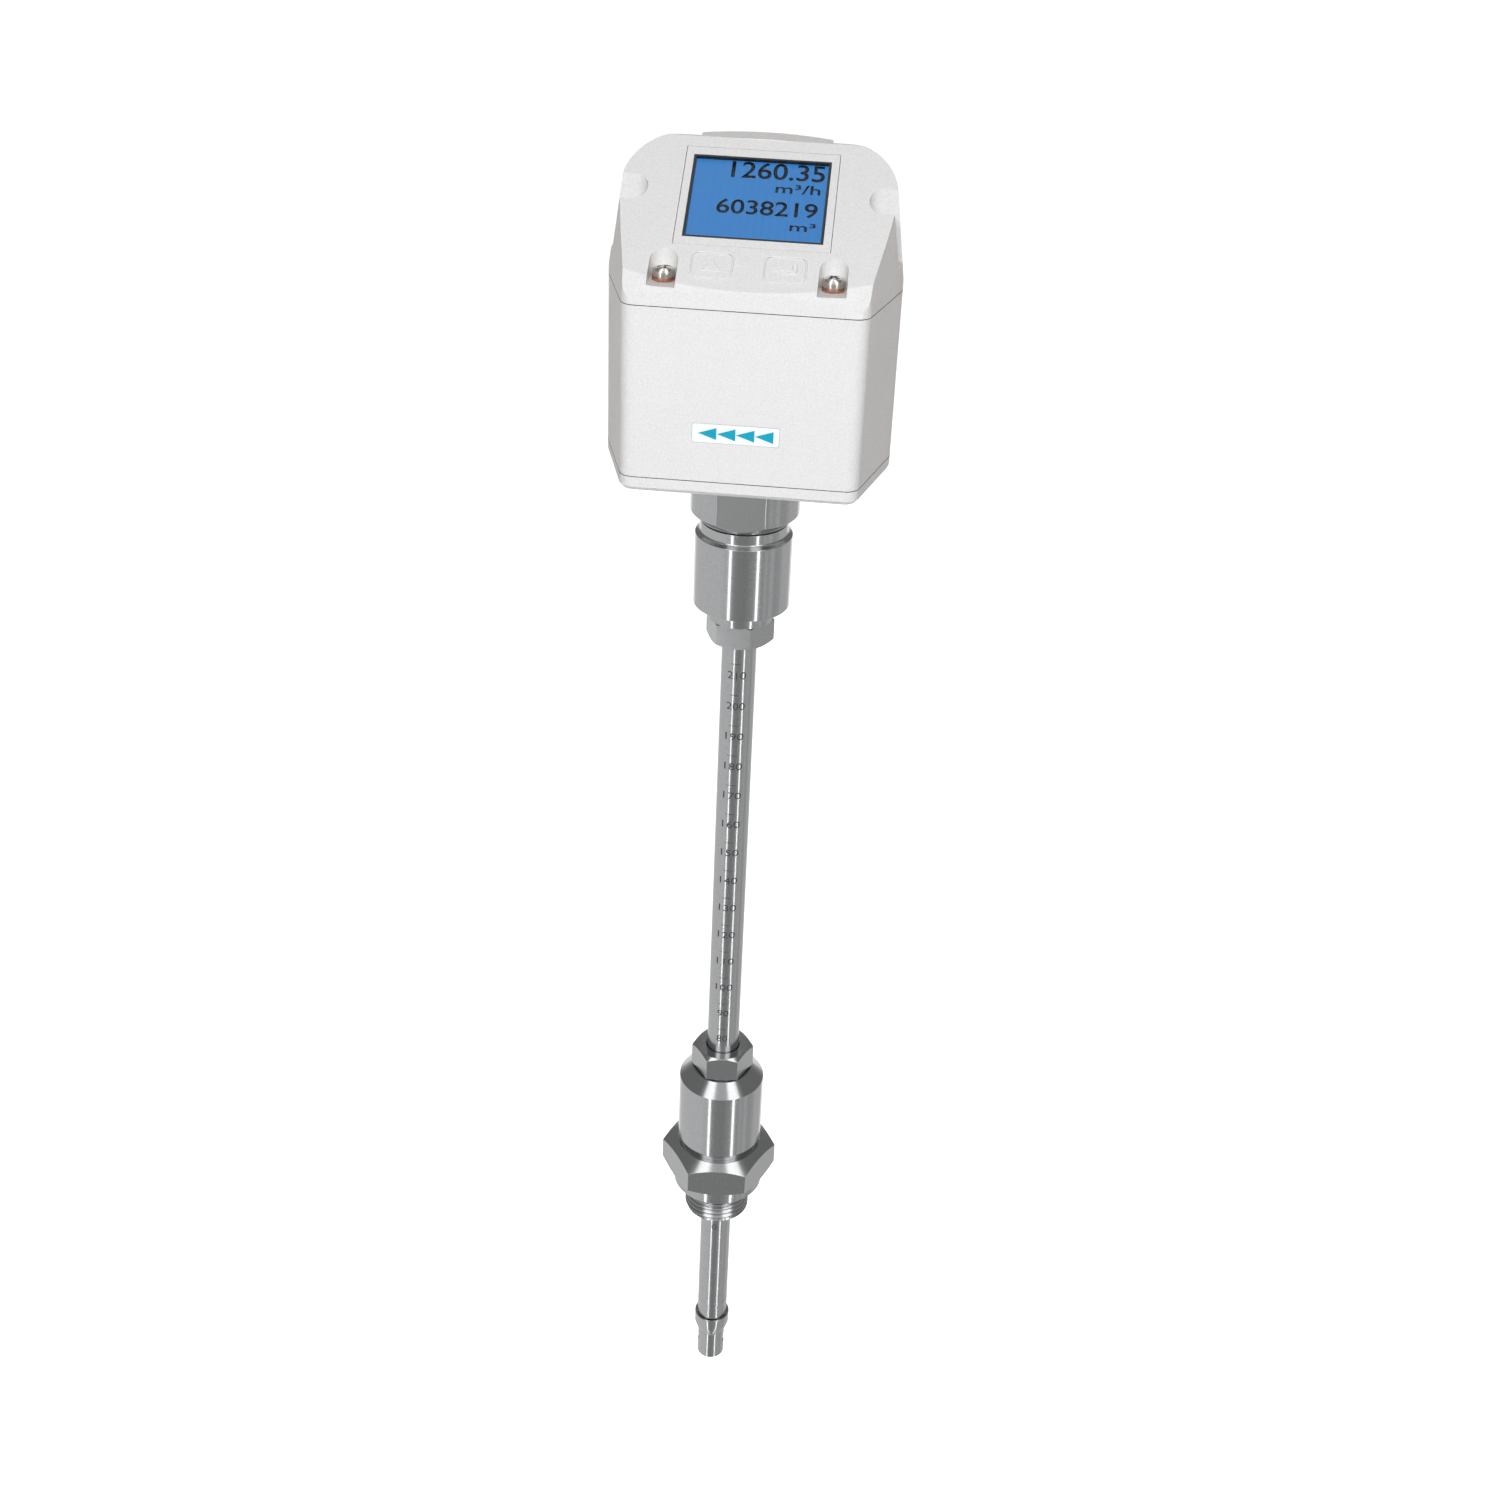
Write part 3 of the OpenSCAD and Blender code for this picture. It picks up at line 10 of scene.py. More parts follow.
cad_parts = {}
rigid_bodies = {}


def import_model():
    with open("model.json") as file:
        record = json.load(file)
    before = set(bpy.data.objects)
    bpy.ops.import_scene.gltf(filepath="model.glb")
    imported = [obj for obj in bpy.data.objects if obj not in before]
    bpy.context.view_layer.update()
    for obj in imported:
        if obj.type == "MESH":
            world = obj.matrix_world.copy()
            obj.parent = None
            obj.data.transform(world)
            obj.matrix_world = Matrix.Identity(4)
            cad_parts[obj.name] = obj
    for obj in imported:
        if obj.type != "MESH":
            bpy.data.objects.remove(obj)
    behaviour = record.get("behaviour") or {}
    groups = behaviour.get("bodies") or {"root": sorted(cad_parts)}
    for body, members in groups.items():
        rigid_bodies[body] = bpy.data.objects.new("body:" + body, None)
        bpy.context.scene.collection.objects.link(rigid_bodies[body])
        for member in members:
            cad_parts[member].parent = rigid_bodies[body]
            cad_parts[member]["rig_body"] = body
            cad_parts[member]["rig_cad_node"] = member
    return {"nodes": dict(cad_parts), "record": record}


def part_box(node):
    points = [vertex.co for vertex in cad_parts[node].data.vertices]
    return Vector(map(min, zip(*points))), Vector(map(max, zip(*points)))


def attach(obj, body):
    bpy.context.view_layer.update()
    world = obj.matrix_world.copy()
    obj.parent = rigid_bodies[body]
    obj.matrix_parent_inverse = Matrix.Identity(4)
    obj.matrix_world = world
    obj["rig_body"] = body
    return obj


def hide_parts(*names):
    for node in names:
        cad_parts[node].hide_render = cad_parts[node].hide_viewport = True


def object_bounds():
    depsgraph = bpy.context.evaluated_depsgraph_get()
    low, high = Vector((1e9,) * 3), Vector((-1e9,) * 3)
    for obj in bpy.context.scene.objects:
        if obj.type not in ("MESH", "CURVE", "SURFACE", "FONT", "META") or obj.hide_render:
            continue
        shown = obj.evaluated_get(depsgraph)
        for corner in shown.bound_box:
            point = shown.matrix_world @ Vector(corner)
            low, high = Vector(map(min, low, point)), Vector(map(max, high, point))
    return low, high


bl_info = {
    "name": "Compressed Air Flow Sensor",
    "version": (1, 0, 0),
    "blender": (4, 5, 0),
    "location": "View3D > Sidebar > Flow Sensor",
    "description": "Models the fine shapes and finishes of an insertion flow sensor",
    "category": "Object",
}

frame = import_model()
CAD_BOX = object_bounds()
BODY_OF = {
    node: body
    for body, nodes in frame["record"]["behaviour"]["bodies"].items()
    for node in nodes
}
SLOT_OF = {row["node"]: row["material_slot"] for row in frame["record"]["subparts"]}

MM = 0.001
FULL_TURN = 2 * math.pi
# Sides of a turned piece and of a small one
ROUND = 160
SMALL_ROUND = 96
# Overrun of a cutting tool beyond what it cuts
OVERRUN = 2 * MM
# Points closer than this count as one
MERGE_GAP = MM / 1000
# Angles below which two faces are one flat face, shade as one surface, and keep a moulded edge sharp
FLAT_ANGLE = math.radians(0.4)
SMOOTH_ANGLE = math.radians(32)
MOULDED_ANGLE = math.radians(40)
# Half the angle between a hexagon's corners, which also turns a new hexagon's flat to the front, and
# the slope of the chamfers at its ends
HEX_HALF = math.radians(30)
HEX_SLOPE = math.tan(HEX_HALF)
# Direction from which the studio is lit, as an angle from the front
STUDIO_TURN = math.radians(4.4)
# Shares of a thread's pitch that its crest and its root keep flat
CREST_SHARE = 0.2
ROOT_SHARE = 0.15


def low_of(node):
    """Lowest corner of a CAD node."""
    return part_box(node)[0]


def high_of(node):
    """Highest corner of a CAD node."""
    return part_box(node)[1]


def middle_of(node):
    """Centre of a CAD node's box."""
    low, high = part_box(node)
    return (low + high) / 2


# Every finish by name, filled in by the first step
FINISH = {}
# The lid's sloped face, with x across, y up the slope and z outwards from the display's middle
SLOPE_ANGLE = math.radians(32)
SLOPE_NORMAL = Vector((0, -math.sin(SLOPE_ANGLE), math.cos(SLOPE_ANGLE)))
FRAME_MID_DEPTH = 1.7 * MM
SLOPE_ORIGIN = middle_of("display_frame") + SLOPE_NORMAL * FRAME_MID_DEPTH
SLOPE = Matrix.Translation(SLOPE_ORIGIN) @ Matrix.Rotation(SLOPE_ANGLE, 4, "X")
SLOPE_INVERSE = SLOPE.inverted()
# How far up the slope from the display's middle the keys' middle lies
KEY_DROP = -23.1 * MM


# Properties

class SensorSizes(bpy.types.PropertyGroup):
    """Sizes of the fine shapes"""

    steel_edge: bpy.props.FloatProperty(
        name="Steel Edge", description="Broken edge of a turned piece", default=0.12 * MM, unit="LENGTH")
    shell_edge: bpy.props.FloatProperty(
        name="Shell Edge", description="Rounding along the head's seams", default=0.35 * MM, unit="LENGTH")
    slope_edge: bpy.props.FloatProperty(
        name="Slope Edge", description="Rounding round the sloped face", default=0.6 * MM, unit="LENGTH")
    thread_pitch: bpy.props.FloatProperty(
        name="Process Pitch", description="Pitch of the process thread", default=1.814 * MM, unit="LENGTH")
    thread_depth: bpy.props.FloatProperty(
        name="Process Depth", description="Depth of the process thread", default=1.162 * MM, unit="LENGTH")
    plug_pitch: bpy.props.FloatProperty(
        name="Connector Pitch", description="Pitch of the connectors", default=1.0 * MM, unit="LENGTH")
    plug_depth: bpy.props.FloatProperty(
        name="Connector Depth", description="Depth of that thread", default=0.6 * MM, unit="LENGTH")
    large_hex: bpy.props.FloatProperty(
        name="Large Hexagon", description="Width across its flats", default=32 * MM, unit="LENGTH")
    small_hex: bpy.props.FloatProperty(
        name="Small Hexagons", description="Width across their flats", default=17 * MM, unit="LENGTH")
    adapter_flats: bpy.props.FloatProperty(
        name="Adapter Flats", description="Width across the wrench flats", default=27 * MM, unit="LENGTH")
    scale_zero: bpy.props.FloatProperty(
        name="Scale Zero", description="Height of the scale's zero mark", default=-20.8 * MM, unit="LENGTH")
    scale_end: bpy.props.IntProperty(
        name="Scale End", description="Last mark of the scale in millimetres", default=215)
    mark_width: bpy.props.FloatProperty(
        name="Mark Width", description="Width of an engraved line", default=0.2 * MM, unit="LENGTH")
    number_height: bpy.props.FloatProperty(
        name="Number Height", description="Height of the scale's numbers", default=2.3 * MM, unit="LENGTH")


class SensorColours(bpy.types.PropertyGroup):
    """Colours of the finishes, as sRGB hex values"""

    housing: bpy.props.StringProperty(name="Housing", description="Light grey plastic", default="E9E6E3")
    steel: bpy.props.StringProperty(name="Steel", description="Stainless steel", default="BFC0C1")
    screen: bpy.props.StringProperty(name="Screen", description="Backlit screen", default="357CC0")
    digits: bpy.props.StringProperty(name="Digits", description="Dark display segments", default="0E1418")
    arrows: bpy.props.StringProperty(name="Arrows", description="The label's flow arrows", default="00A3BE")
    label: bpy.props.StringProperty(name="Label", description="Label film", default="F8F8F8")
    washer: bpy.props.StringProperty(name="Washers", description="Copper washers", default="C2937F")


# Modelling helpers

def deselect_all():
    """Leaves nothing selected, so that an operator acts only on what is named next."""
    bpy.ops.object.select_all(action="DESELECT")


def make_active(piece):
    """Selects one piece alone and makes it the active one."""
    deselect_all()
    piece.select_set(True)
    bpy.context.view_layer.objects.active = piece


def start_editing(piece):
    """Opens a piece in edit mode with all of it selected."""
    make_active(piece)
    bpy.ops.object.mode_set(mode="EDIT")
    bpy.ops.mesh.select_all(action="SELECT")


def stop_editing():
    """Goes back to object mode."""
    bpy.ops.object.mode_set(mode="OBJECT")


def settle(piece):
    """Moves a piece's place into its mesh."""
    make_active(piece)
    bpy.ops.object.transform_apply(location=True, rotation=True, scale=True)
    return piece


def named(name):
    """Names the piece that an operator has just added."""
    piece = bpy.context.active_object
    piece.name = name
    piece.data.name = name
    return piece


def modify(piece, kind, **settings):
    """Adds a modifier with its settings and applies it."""
    make_active(piece)
    bpy.ops.object.modifier_add(type=kind)
    modifier = piece.modifiers[-1]
    for key, value in settings.items():
        setattr(modifier, key, value)
    bpy.ops.object.modifier_apply(modifier=modifier.name)
    return piece


def discard(piece):
    """Deletes a tool or trial piece."""
    make_active(piece)
    bpy.ops.object.delete()


def combine(piece, tool, operation):
    """Cuts a piece with a tool, or keeps what both share, and deletes the tool."""
    modify(piece, "BOOLEAN", object=tool, operation=operation, solver="EXACT")
    discard(tool)
    return piece


def join(pieces, name):
    """Joins pieces into the first of them."""
    deselect_all()
    for piece in pieces:
        piece.select_set(True)
    bpy.context.view_layer.objects.active = pieces[0]
    bpy.ops.object.join()
    return named(name)


def face_outwards(piece):
    """Merges doubles and turns every face outwards."""
    start_editing(piece)
    bpy.ops.mesh.remove_doubles(threshold=MERGE_GAP)
    bpy.ops.mesh.normals_make_consistent(inside=False)
    stop_editing()
    return piece


def select_open_edges():
    """Selects a mesh's open ends, in edge mode."""
    bpy.ops.mesh.select_all(action="DESELECT")
    bpy.ops.mesh.select_mode(type="EDGE")
    bpy.ops.mesh.select_non_manifold()


def break_edges(piece, width=None, segments=2, angle=math.radians(24)):
    """Rounds a piece's sharp edges, as steel's edges where no width is given, and shades it smooth."""
    if width is None:
        width = bpy.context.scene.flow_sensor_sizes.steel_edge
    if width > 0:
        modify(piece, "BEVEL", width=width, segments=segments, limit_method="ANGLE", angle_limit=angle)
    make_active(piece)
    bpy.ops.object.shade_smooth_by_angle(angle=SMOOTH_ANGLE)
    return modify(piece, "WEIGHTED_NORMAL", keep_sharp=True)


def turned(name, profile, solid=False, sides=ROUND, edge=None):
    """A turned piece: a ring of points is drawn out from each point (radius, height) of its profile to
    the next, and closed on itself, or with flat ends where it is solid."""
    radius, height = profile[0]
    bpy.ops.mesh.primitive_circle_add(vertices=sides, radius=radius, location=(0, 0, height))
    piece = settle(named(name))
    start_editing(piece)
    for (radius, height), (next_radius, next_height) in zip(profile, profile[1:]):
        bpy.ops.mesh.extrude_region_move(TRANSFORM_OT_translate={"value": (0, 0, next_height - height)})
        share = next_radius / radius
        bpy.ops.transform.resize(value=(share, share, 1), center_override=(0, 0, next_height))
    if solid:
        bpy.ops.mesh.select_all(action="SELECT")
        bpy.ops.mesh.fill_holes(sides=0)
    else:
        select_open_edges()
        bpy.ops.mesh.bridge_edge_loops()
        bpy.ops.mesh.select_mode(type="VERT")
    bpy.ops.mesh.select_all(action="SELECT")
    bpy.ops.mesh.normals_make_consistent(inside=False)
    stop_editing()
    return break_edges(piece, edge)


def chamfered_hexagon(name, flats, degrees, bore_r, low, high, low_r, high_r, sink=0):
    """A hexagon bar, turned by an angle from the front, bored out and then chamfered as on a lathe, down
    to a radius at its top and, if one is given, at its foot, and with its hole sunk at the top."""
    corner_r = flats / 2 / math.cos(HEX_HALF)
    beyond = corner_r + OVERRUN
    foot = [(low_r, low), (beyond, low + (beyond - low_r) * HEX_SLOPE)] if low_r else [(beyond, low)]
    hole = [(bore_r + sink, high), (bore_r, high - sink)] if sink else [(bore_r, high)]
    blank = turned(name + "_profile", [
        (bore_r, low), *foot, (beyond, high - (beyond - high_r) * HEX_SLOPE), (high_r, high), *hole], edge=0)
    bpy.ops.mesh.primitive_cylinder_add(
        vertices=6, radius=corner_r, depth=high - low + 2 * OVERRUN,
        location=(0, 0, (low + high) / 2), rotation=(0, 0, HEX_HALF + math.radians(degrees)))
    return break_edges(combine(settle(named(name)), blank, "INTERSECT"))


def helical_thread(name, radius, depth, pitch, low, high, bore, lead):
    """A true helical thread: one pitch of its profile is screwed upwards, then cut to length and
    bevelled by a turned profile."""
    root = radius - depth
    crest, flat = pitch * CREST_SHARE, pitch * ROOT_SHARE
    flank = (pitch - crest - flat) / 2
    bpy.ops.mesh.primitive_plane_add(size=pitch, location=(root, 0, low - pitch))
    piece = settle(named(name))
    start_editing(piece)
    bpy.ops.mesh.merge(type="CENTER")
    for x, z in ((0, flat), (depth, flank), (0, crest), (-depth, flank)):
        bpy.ops.mesh.extrude_region_move(TRANSFORM_OT_translate={"value": (x, 0, z)})
    stop_editing()
    turns = math.ceil((high - low) / pitch) + 2
    modify(piece, "SCREW", angle=FULL_TURN, screw_offset=pitch, iterations=turns, steps=ROUND // 2,
           render_steps=ROUND // 2, use_merge_vertices=True, use_normal_calculate=True)
    start_editing(piece)
    bpy.ops.mesh.remove_doubles(threshold=MERGE_GAP)
    stop_editing()
    for end in (-1, 1):
        close_thread_end(piece, end, (low + high) / 2)
    face_outwards(piece)
    margin = pitch / 8
    blank = turned(name + "_blank", [
        (bore, low), (root - margin, low), (radius + margin, low + lead), (radius + margin, high),
        (bore, high)], edge=0)
    combine(piece, blank, "INTERSECT")
    return break_edges(piece, 0)


def close_thread_end(piece, end, middle):
    """Draws the open spiral end of a thread outwards and gathers it on the axis."""
    start_editing(piece)
    select_open_edges()
    mesh = bmesh.from_edit_mesh(piece.data)
    for edge in mesh.edges:
        centre = (edge.verts[0].co + edge.verts[1].co) / 2
        if (centre.z - middle) * end < 0:
            edge.select_set(False)
    bmesh.update_edit_mesh(piece.data)
    bpy.ops.mesh.extrude_region_move(TRANSFORM_OT_translate={"value": (0, 0, end * OVERRUN)})
    bpy.ops.mesh.merge(type="CENTER")
    bpy.ops.mesh.select_mode(type="VERT")
    stop_editing()


def copied(node, name):
    """A copy of a CAD node's mesh with its doubles merged and its flat faces made whole."""
    make_active(frame["nodes"][node])
    bpy.ops.object.duplicate()
    bpy.ops.object.parent_clear(type="CLEAR_KEEP_TRANSFORM")
    piece = named(name)
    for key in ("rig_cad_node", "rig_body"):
        del piece[key]
    piece.data.materials.clear()
    start_editing(piece)
    bpy.ops.mesh.remove_doubles(threshold=MERGE_GAP)
    bpy.ops.mesh.dissolve_limited(angle_limit=FLAT_ANGLE)
    stop_editing()
    return piece


def twin_of(piece, name, place=None):
    """A copy of a piece, with its own mesh, at another place if one is given."""
    make_active(piece)
    bpy.ops.object.duplicate()
    twin = named(name)
    if place is not None:
        twin.data.transform(place)
    return twin


def hand_over(piece, node, finish=None, stands_for=True):
    """Gives a piece a finish, or else its node's own, and a body, and lets it stand for its CAD node."""
    piece.data.materials.clear()
    piece.data.materials.append(FINISH[finish or SLOT_OF[node]])
    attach(piece, BODY_OF[node])
    if stands_for:
        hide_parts(node)
    return piece


def dressed_copy(node, name, edge, segments=2, angle=MOULDED_ANGLE):
    """A copy of a CAD node that stands for it, with its edges rounded."""
    return hand_over(break_edges(copied(node, name), edge, segments, angle), node)


def lettering(text, width, height, place, bold=0.0):
    """Generic numbers or unit signs as a flat mesh that faces -Y, fitted to a width and height, with its
    lower middle at place (x, z)."""
    bpy.ops.object.text_add()
    letters = bpy.context.object
    letters.data.body = text
    letters.data.resolution_u = 4
    letters.data.offset = bold
    bpy.ops.object.convert(target="MESH")
    letters = named("lettering")
    xs = [v.co.x for v in letters.data.vertices]
    ys = [v.co.y for v in letters.data.vertices]
    middle_x = (min(xs) + max(xs)) / 2
    fit = Matrix.Diagonal((width / (max(xs) - min(xs)), height / (max(ys) - min(ys)), 1, 1))
    upright = Matrix.Translation((place[0], 0, place[1])) @ Matrix.Rotation(math.pi / 2, 4, "X")
    letters.data.transform(upright @ fit @ Matrix.Translation((-middle_x, -min(ys), 0)))
    return letters


# Materials

def srgb(code, alpha=1.0):
    """A hex colour as linear red, green, blue and alpha."""
    parts = [int(code[i:i + 2], 16) / 255 for i in (0, 2, 4)]
    linear = [p / 12.92 if p <= 0.04045 else ((p + 0.055) / 1.055) ** 2.4 for p in parts]
    return (*linear, alpha)


def add_node(tree, kind, settings=None, links=None):
    """Adds a node, sets its properties and input values, and links its inputs from other nodes' outputs."""
    node = tree.nodes.new("ShaderNode" + kind)
    for key, value in (settings or {}).items():
        if isinstance(key, str) and hasattr(node, key):
            setattr(node, key, value)
        else:
            node.inputs[key].default_value = value
    for key, output in (links or {}).items():
        tree.links.new(output, node.inputs[key])
    return node


def new_material(name, settings):
    """A material with one Principled shader, and its node tree."""
    material = bpy.data.materials.get(name) or bpy.data.materials.new(name)
    material.use_nodes = True
    tree = material.node_tree
    shader = next(n for n in tree.nodes if n.type == "BSDF_PRINCIPLED")
    for key, value in settings.items():
        shader.inputs[key].default_value = value
    return material, tree, shader


def roughen(tree, shader, vector, noise, strength, depth_mm):
    """Raises a surface by noise with these settings, read at a vector."""
    bumps = add_node(tree, "TexNoise", noise, {"Vector": vector})
    relief = add_node(tree, "Bump", {"Strength": strength, "Distance": depth_mm * MM},
                      {"Height": bumps.outputs["Fac"]})
    tree.links.new(relief.outputs["Normal"], shader.inputs["Normal"])


def two_tone(tree, shader, factor, code, dark, light):
    """Colours a surface between two levels of one colour."""
    shade = add_node(tree, "Mix", {"data_type": "RGBA"}, {"Factor": factor})
    for key, level in (("A", dark), ("B", light)):
        shade.inputs[key].default_value = [min(1, part * level) for part in srgb(code)[:3]] + [1]
    tree.links.new(shade.outputs["Result"], shader.inputs["Base Color"])


def mottle(tree, shader, place, code, size_mm, spread):
    """Varies a surface's colour a little in fine spots of the given size."""
    spots = add_node(tree, "TexNoise", {"Scale": 1 / (size_mm * MM), "Detail": 3.0, "Roughness": 0.6},
                     {"Vector": place.outputs["Object"]})
    clear = add_node(tree, "MapRange", {"From Min": 0.3, "From Max": 0.7},
                     {"Value": spots.outputs["Fac"]})
    two_tone(tree, shader, clear.outputs[0], code, 1 - spread, 1 + spread)


def turned_metal(name, code, roughness, groove_mm, depth_mm, anisotropic):
    """Turned metal, mostly stainless steel: fine tool rings round the axis draw each lamp out into a
    narrow bright line along the piece, and the gloss changes a little from cut to cut."""
    material, tree, shader = new_material(name, {
        "Base Color": srgb(code), "Metallic": 1.0, "Roughness": roughness, "Anisotropic": anisotropic,
        "Anisotropic Rotation": 0.25})
    place = add_node(tree, "TexCoord")
    rings = add_node(tree, "Mapping", {"Scale": (0, 0, 1 / (groove_mm * MM))},
                     {"Vector": place.outputs["Object"]})
    grooves = {"Scale": 1.0, "Detail": 3.0, "Roughness": 0.6}
    roughen(tree, shader, rings.outputs["Vector"], grooves, 0.35, depth_mm)
    direction = add_node(tree, "Tangent", {"direction_type": "RADIAL", "axis": "Z"})
    tree.links.new(direction.outputs["Tangent"], shader.inputs["Tangent"])
    # A cut's feed marks, 1.43 mm high and 11.1 mm long, coarser than real ones so that they show
    across, along = 1 / (11.1 * MM), 1 / (1.43 * MM)
    cuts = add_node(tree, "Mapping", {"Scale": (across, across, along)},
                    {"Vector": place.outputs["Object"]})
    patches = add_node(tree, "TexNoise", {"Scale": 1.0, "Detail": 4.0, "Roughness": 0.65},
                       {"Vector": cuts.outputs["Vector"]})
    dull = add_node(tree, "MapRange", {"To Min": roughness * 0.85, "To Max": roughness * 1.2},
                    {"Value": patches.outputs["Fac"]})
    tree.links.new(dull.outputs["Result"], shader.inputs["Roughness"])
    mottle(tree, shader, place, code, size_mm=0.3, spread=0.12)
    return material


def milled_stainless(name, code, roughness, line_mm, angle):
    """Milled stainless flats: straight cutter marks, 17 mm long, that run across the face at a slant."""
    material, tree, shader = new_material(name, {
        "Base Color": srgb(code), "Metallic": 1.0, "Roughness": roughness})
    place = add_node(tree, "TexCoord")
    slant = add_node(tree, "Mapping", {"Rotation": (0, angle, 0)},
                     {"Vector": place.outputs["Object"]})
    run = 1 / (16.7 * MM)
    marks = add_node(tree, "Mapping", {"Scale": (run, run, 1 / (line_mm * MM))},
                     {"Vector": slant.outputs["Vector"]})
    scratches = {"Scale": 1.0, "Detail": 4.0, "Roughness": 0.7}
    roughen(tree, shader, marks.outputs["Vector"], scratches, 0.4, 0.02)
    mottle(tree, shader, place, code, size_mm=0.3, spread=0.14)
    return material


def grained(name, code, roughness, grain_mm, depth_mm, spread=0.03, settings=None):
    """A moulded or cast surface: an eroded mould leaves a fine pebbled grain, and its colour isn't
    quite even."""
    material, tree, shader = new_material(name, {
        "Base Color": srgb(code), "Roughness": roughness, **(settings or {})})
    place = add_node(tree, "TexCoord")
    pebbles = {"Scale": 1 / (grain_mm * MM), "Detail": 3.0, "Roughness": 0.55}
    roughen(tree, shader, place.outputs["Object"], pebbles, 0.8, depth_mm)
    mottle(tree, shader, place, code, grain_mm * 1.6, spread)
    return material


def lit_screen(name, code):
    """A backlit liquid crystal panel: it glows evenly, and its rows of pixels show as faint bands, 2 mm
    apart where real ones are 0.2 mm, so that they show at all."""
    material, tree, shader = new_material(name, {
        "Base Color": srgb(code), "Roughness": 0.35,
        "Emission Color": srgb(code), "Emission Strength": 0.62})
    place = add_node(tree, "TexCoord")
    # At scale 1, a wave texture has 20 bands in every 2 pi metres
    bands = FULL_TURN / 20 / (1.963 * MM)
    rows = add_node(tree, "TexWave", {"wave_type": "BANDS", "bands_direction": "X", "Scale": bands},
                    {"Vector": place.outputs["Object"]})
    two_tone(tree, shader, rows.outputs["Fac"], code, 0.5, 0.56)
    return material


def clear_window(name):
    """A cast acrylic window: nearly invisible, with a gloss that varies softly every 2.5 mm."""
    material, tree, shader = new_material(name, {
        "Base Color": srgb("202830"), "Roughness": 0.12, "IOR": 1.49, "Alpha": 0.06})
    place = add_node(tree, "TexCoord")
    haze = add_node(tree, "TexNoise", {"Scale": 1 / (2.5 * MM), "Detail": 2.0},
                    {"Vector": place.outputs["Object"]})
    gloss = add_node(tree, "MapRange", {"To Min": 0.10, "To Max": 0.16},
                     {"Value": haze.outputs["Fac"]})
    tree.links.new(gloss.outputs["Result"], shader.inputs["Roughness"])
    return material


def make_materials():
    """Makes every finish: one for each slot of the record, and the finer ones that share a slot. After
    the name and colour come the roughness, the tool marks' or grain's size and depth in millimetres,
    and then a turned metal's anisotropy or a grained surface's spread of colour."""
    colours = bpy.context.scene.flow_sensor_colours
    return {
        "stainless_steel": turned_metal("turned_stainless", colours.steel, 0.15, 0.22, 0.003, 0.6),
        "tube_steel": turned_metal("ground_stainless_tube", colours.steel, 0.18, 0.12, 0.0012, 0.6),
        "milled_steel": milled_stainless("milled_stainless", colours.steel, 0.34, 0.45, math.radians(38)),
        "housing_plastic": grained("moulded_asa", colours.housing, 0.42, 0.34, 0.2, 0.06),
        "seal_rubber": grained("nitrile_rubber", "1C1C1E", 0.6, 0.3, 0.02),
        "bush_plastic": grained("turned_ptfe", "ECE9E2", 0.5, 0.4, 0.01),
        "copper": grained("annealed_copper", colours.washer, 0.38, 0.5, 0.01, 0.1, {"Metallic": 1.0}),
        "brass": turned_metal("turned_brass", "C6A664", 0.3, 0.2, 0.005, 0.5),
        "nickel_plate": grained("nickel_plate", "E4E1DB", 0.2, 0.8, 0.004, 0.04, {"Metallic": 1.0}),
        "turned_nickel": turned_metal("nickel_plated_brass", "CFCBC2", 0.22, 0.25, 0.003, 0.4),
        "ceramic": grained("fired_ceramic", "CBC4B4", 0.5, 0.2, 0.01),
        "sensor_glass": grained("glazed_element", "D5CDB6", 0.15, 0.2, 0.002),
        "wire_insulation": grained("pvc_insulation", "B0412F", 0.4, 0.3, 0.005),
        "potting": grained("potting_resin", "56585A", 0.3, 0.6, 0.01),
        "display_black": grained("black_acrylic_ink", "121416", 0.35, 0.2, 0.004),
        "board": grained("solder_mask", "1F5C38", 0.3, 0.5, 0.01, 0.1),
        "component_black": grained("epoxy_moulding", "26282A", 0.5, 0.2, 0.01),
        "label": grained("polyester_label", colours.label, 0.3, 0.6, 0.003, 0.01),
        # A grey that paints the shade round the label's edge
        "label_edge_shade": grained("label_edge_shade_grey", "B9B5B0", 0.4, 0.3, 0.002),
        "contact_insert": grained("glass_filled_nylon", "2A2B2D", 0.45, 0.25, 0.01),
        "gold_contact": grained("gold_plate", "D9B766", 0.2, 0.4, 0.003, 0.04, {"Metallic": 1.0}),
        "arrow_ink": grained("teal_ink", colours.arrows, 0.4, 0.3, 0.003),
        "digit_ink": grained("lcd_segment", colours.digits, 0.35, 0.3, 0.001),
        "engraving": grained("burnt_engraving", "3A3B3C", 0.6, 0.1, 0.005, 0.15),
        "display_screen": lit_screen("backlit_screen", colours.screen),
        "display_window": clear_window("acrylic_window"),
    }


# Operators

class FLOW_SENSOR_OT_finishes(bpy.types.Operator):
    """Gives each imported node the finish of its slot"""

    bl_idname = "flow_sensor.finishes"
    bl_label = "Finishes"

    def execute(self, context):
        FINISH.update(make_materials())
        for node, piece in frame["nodes"].items():
            piece.data.materials.clear()
            piece.data.materials.append(FINISH[SLOT_OF[node]])
        return {"FINISHED"}


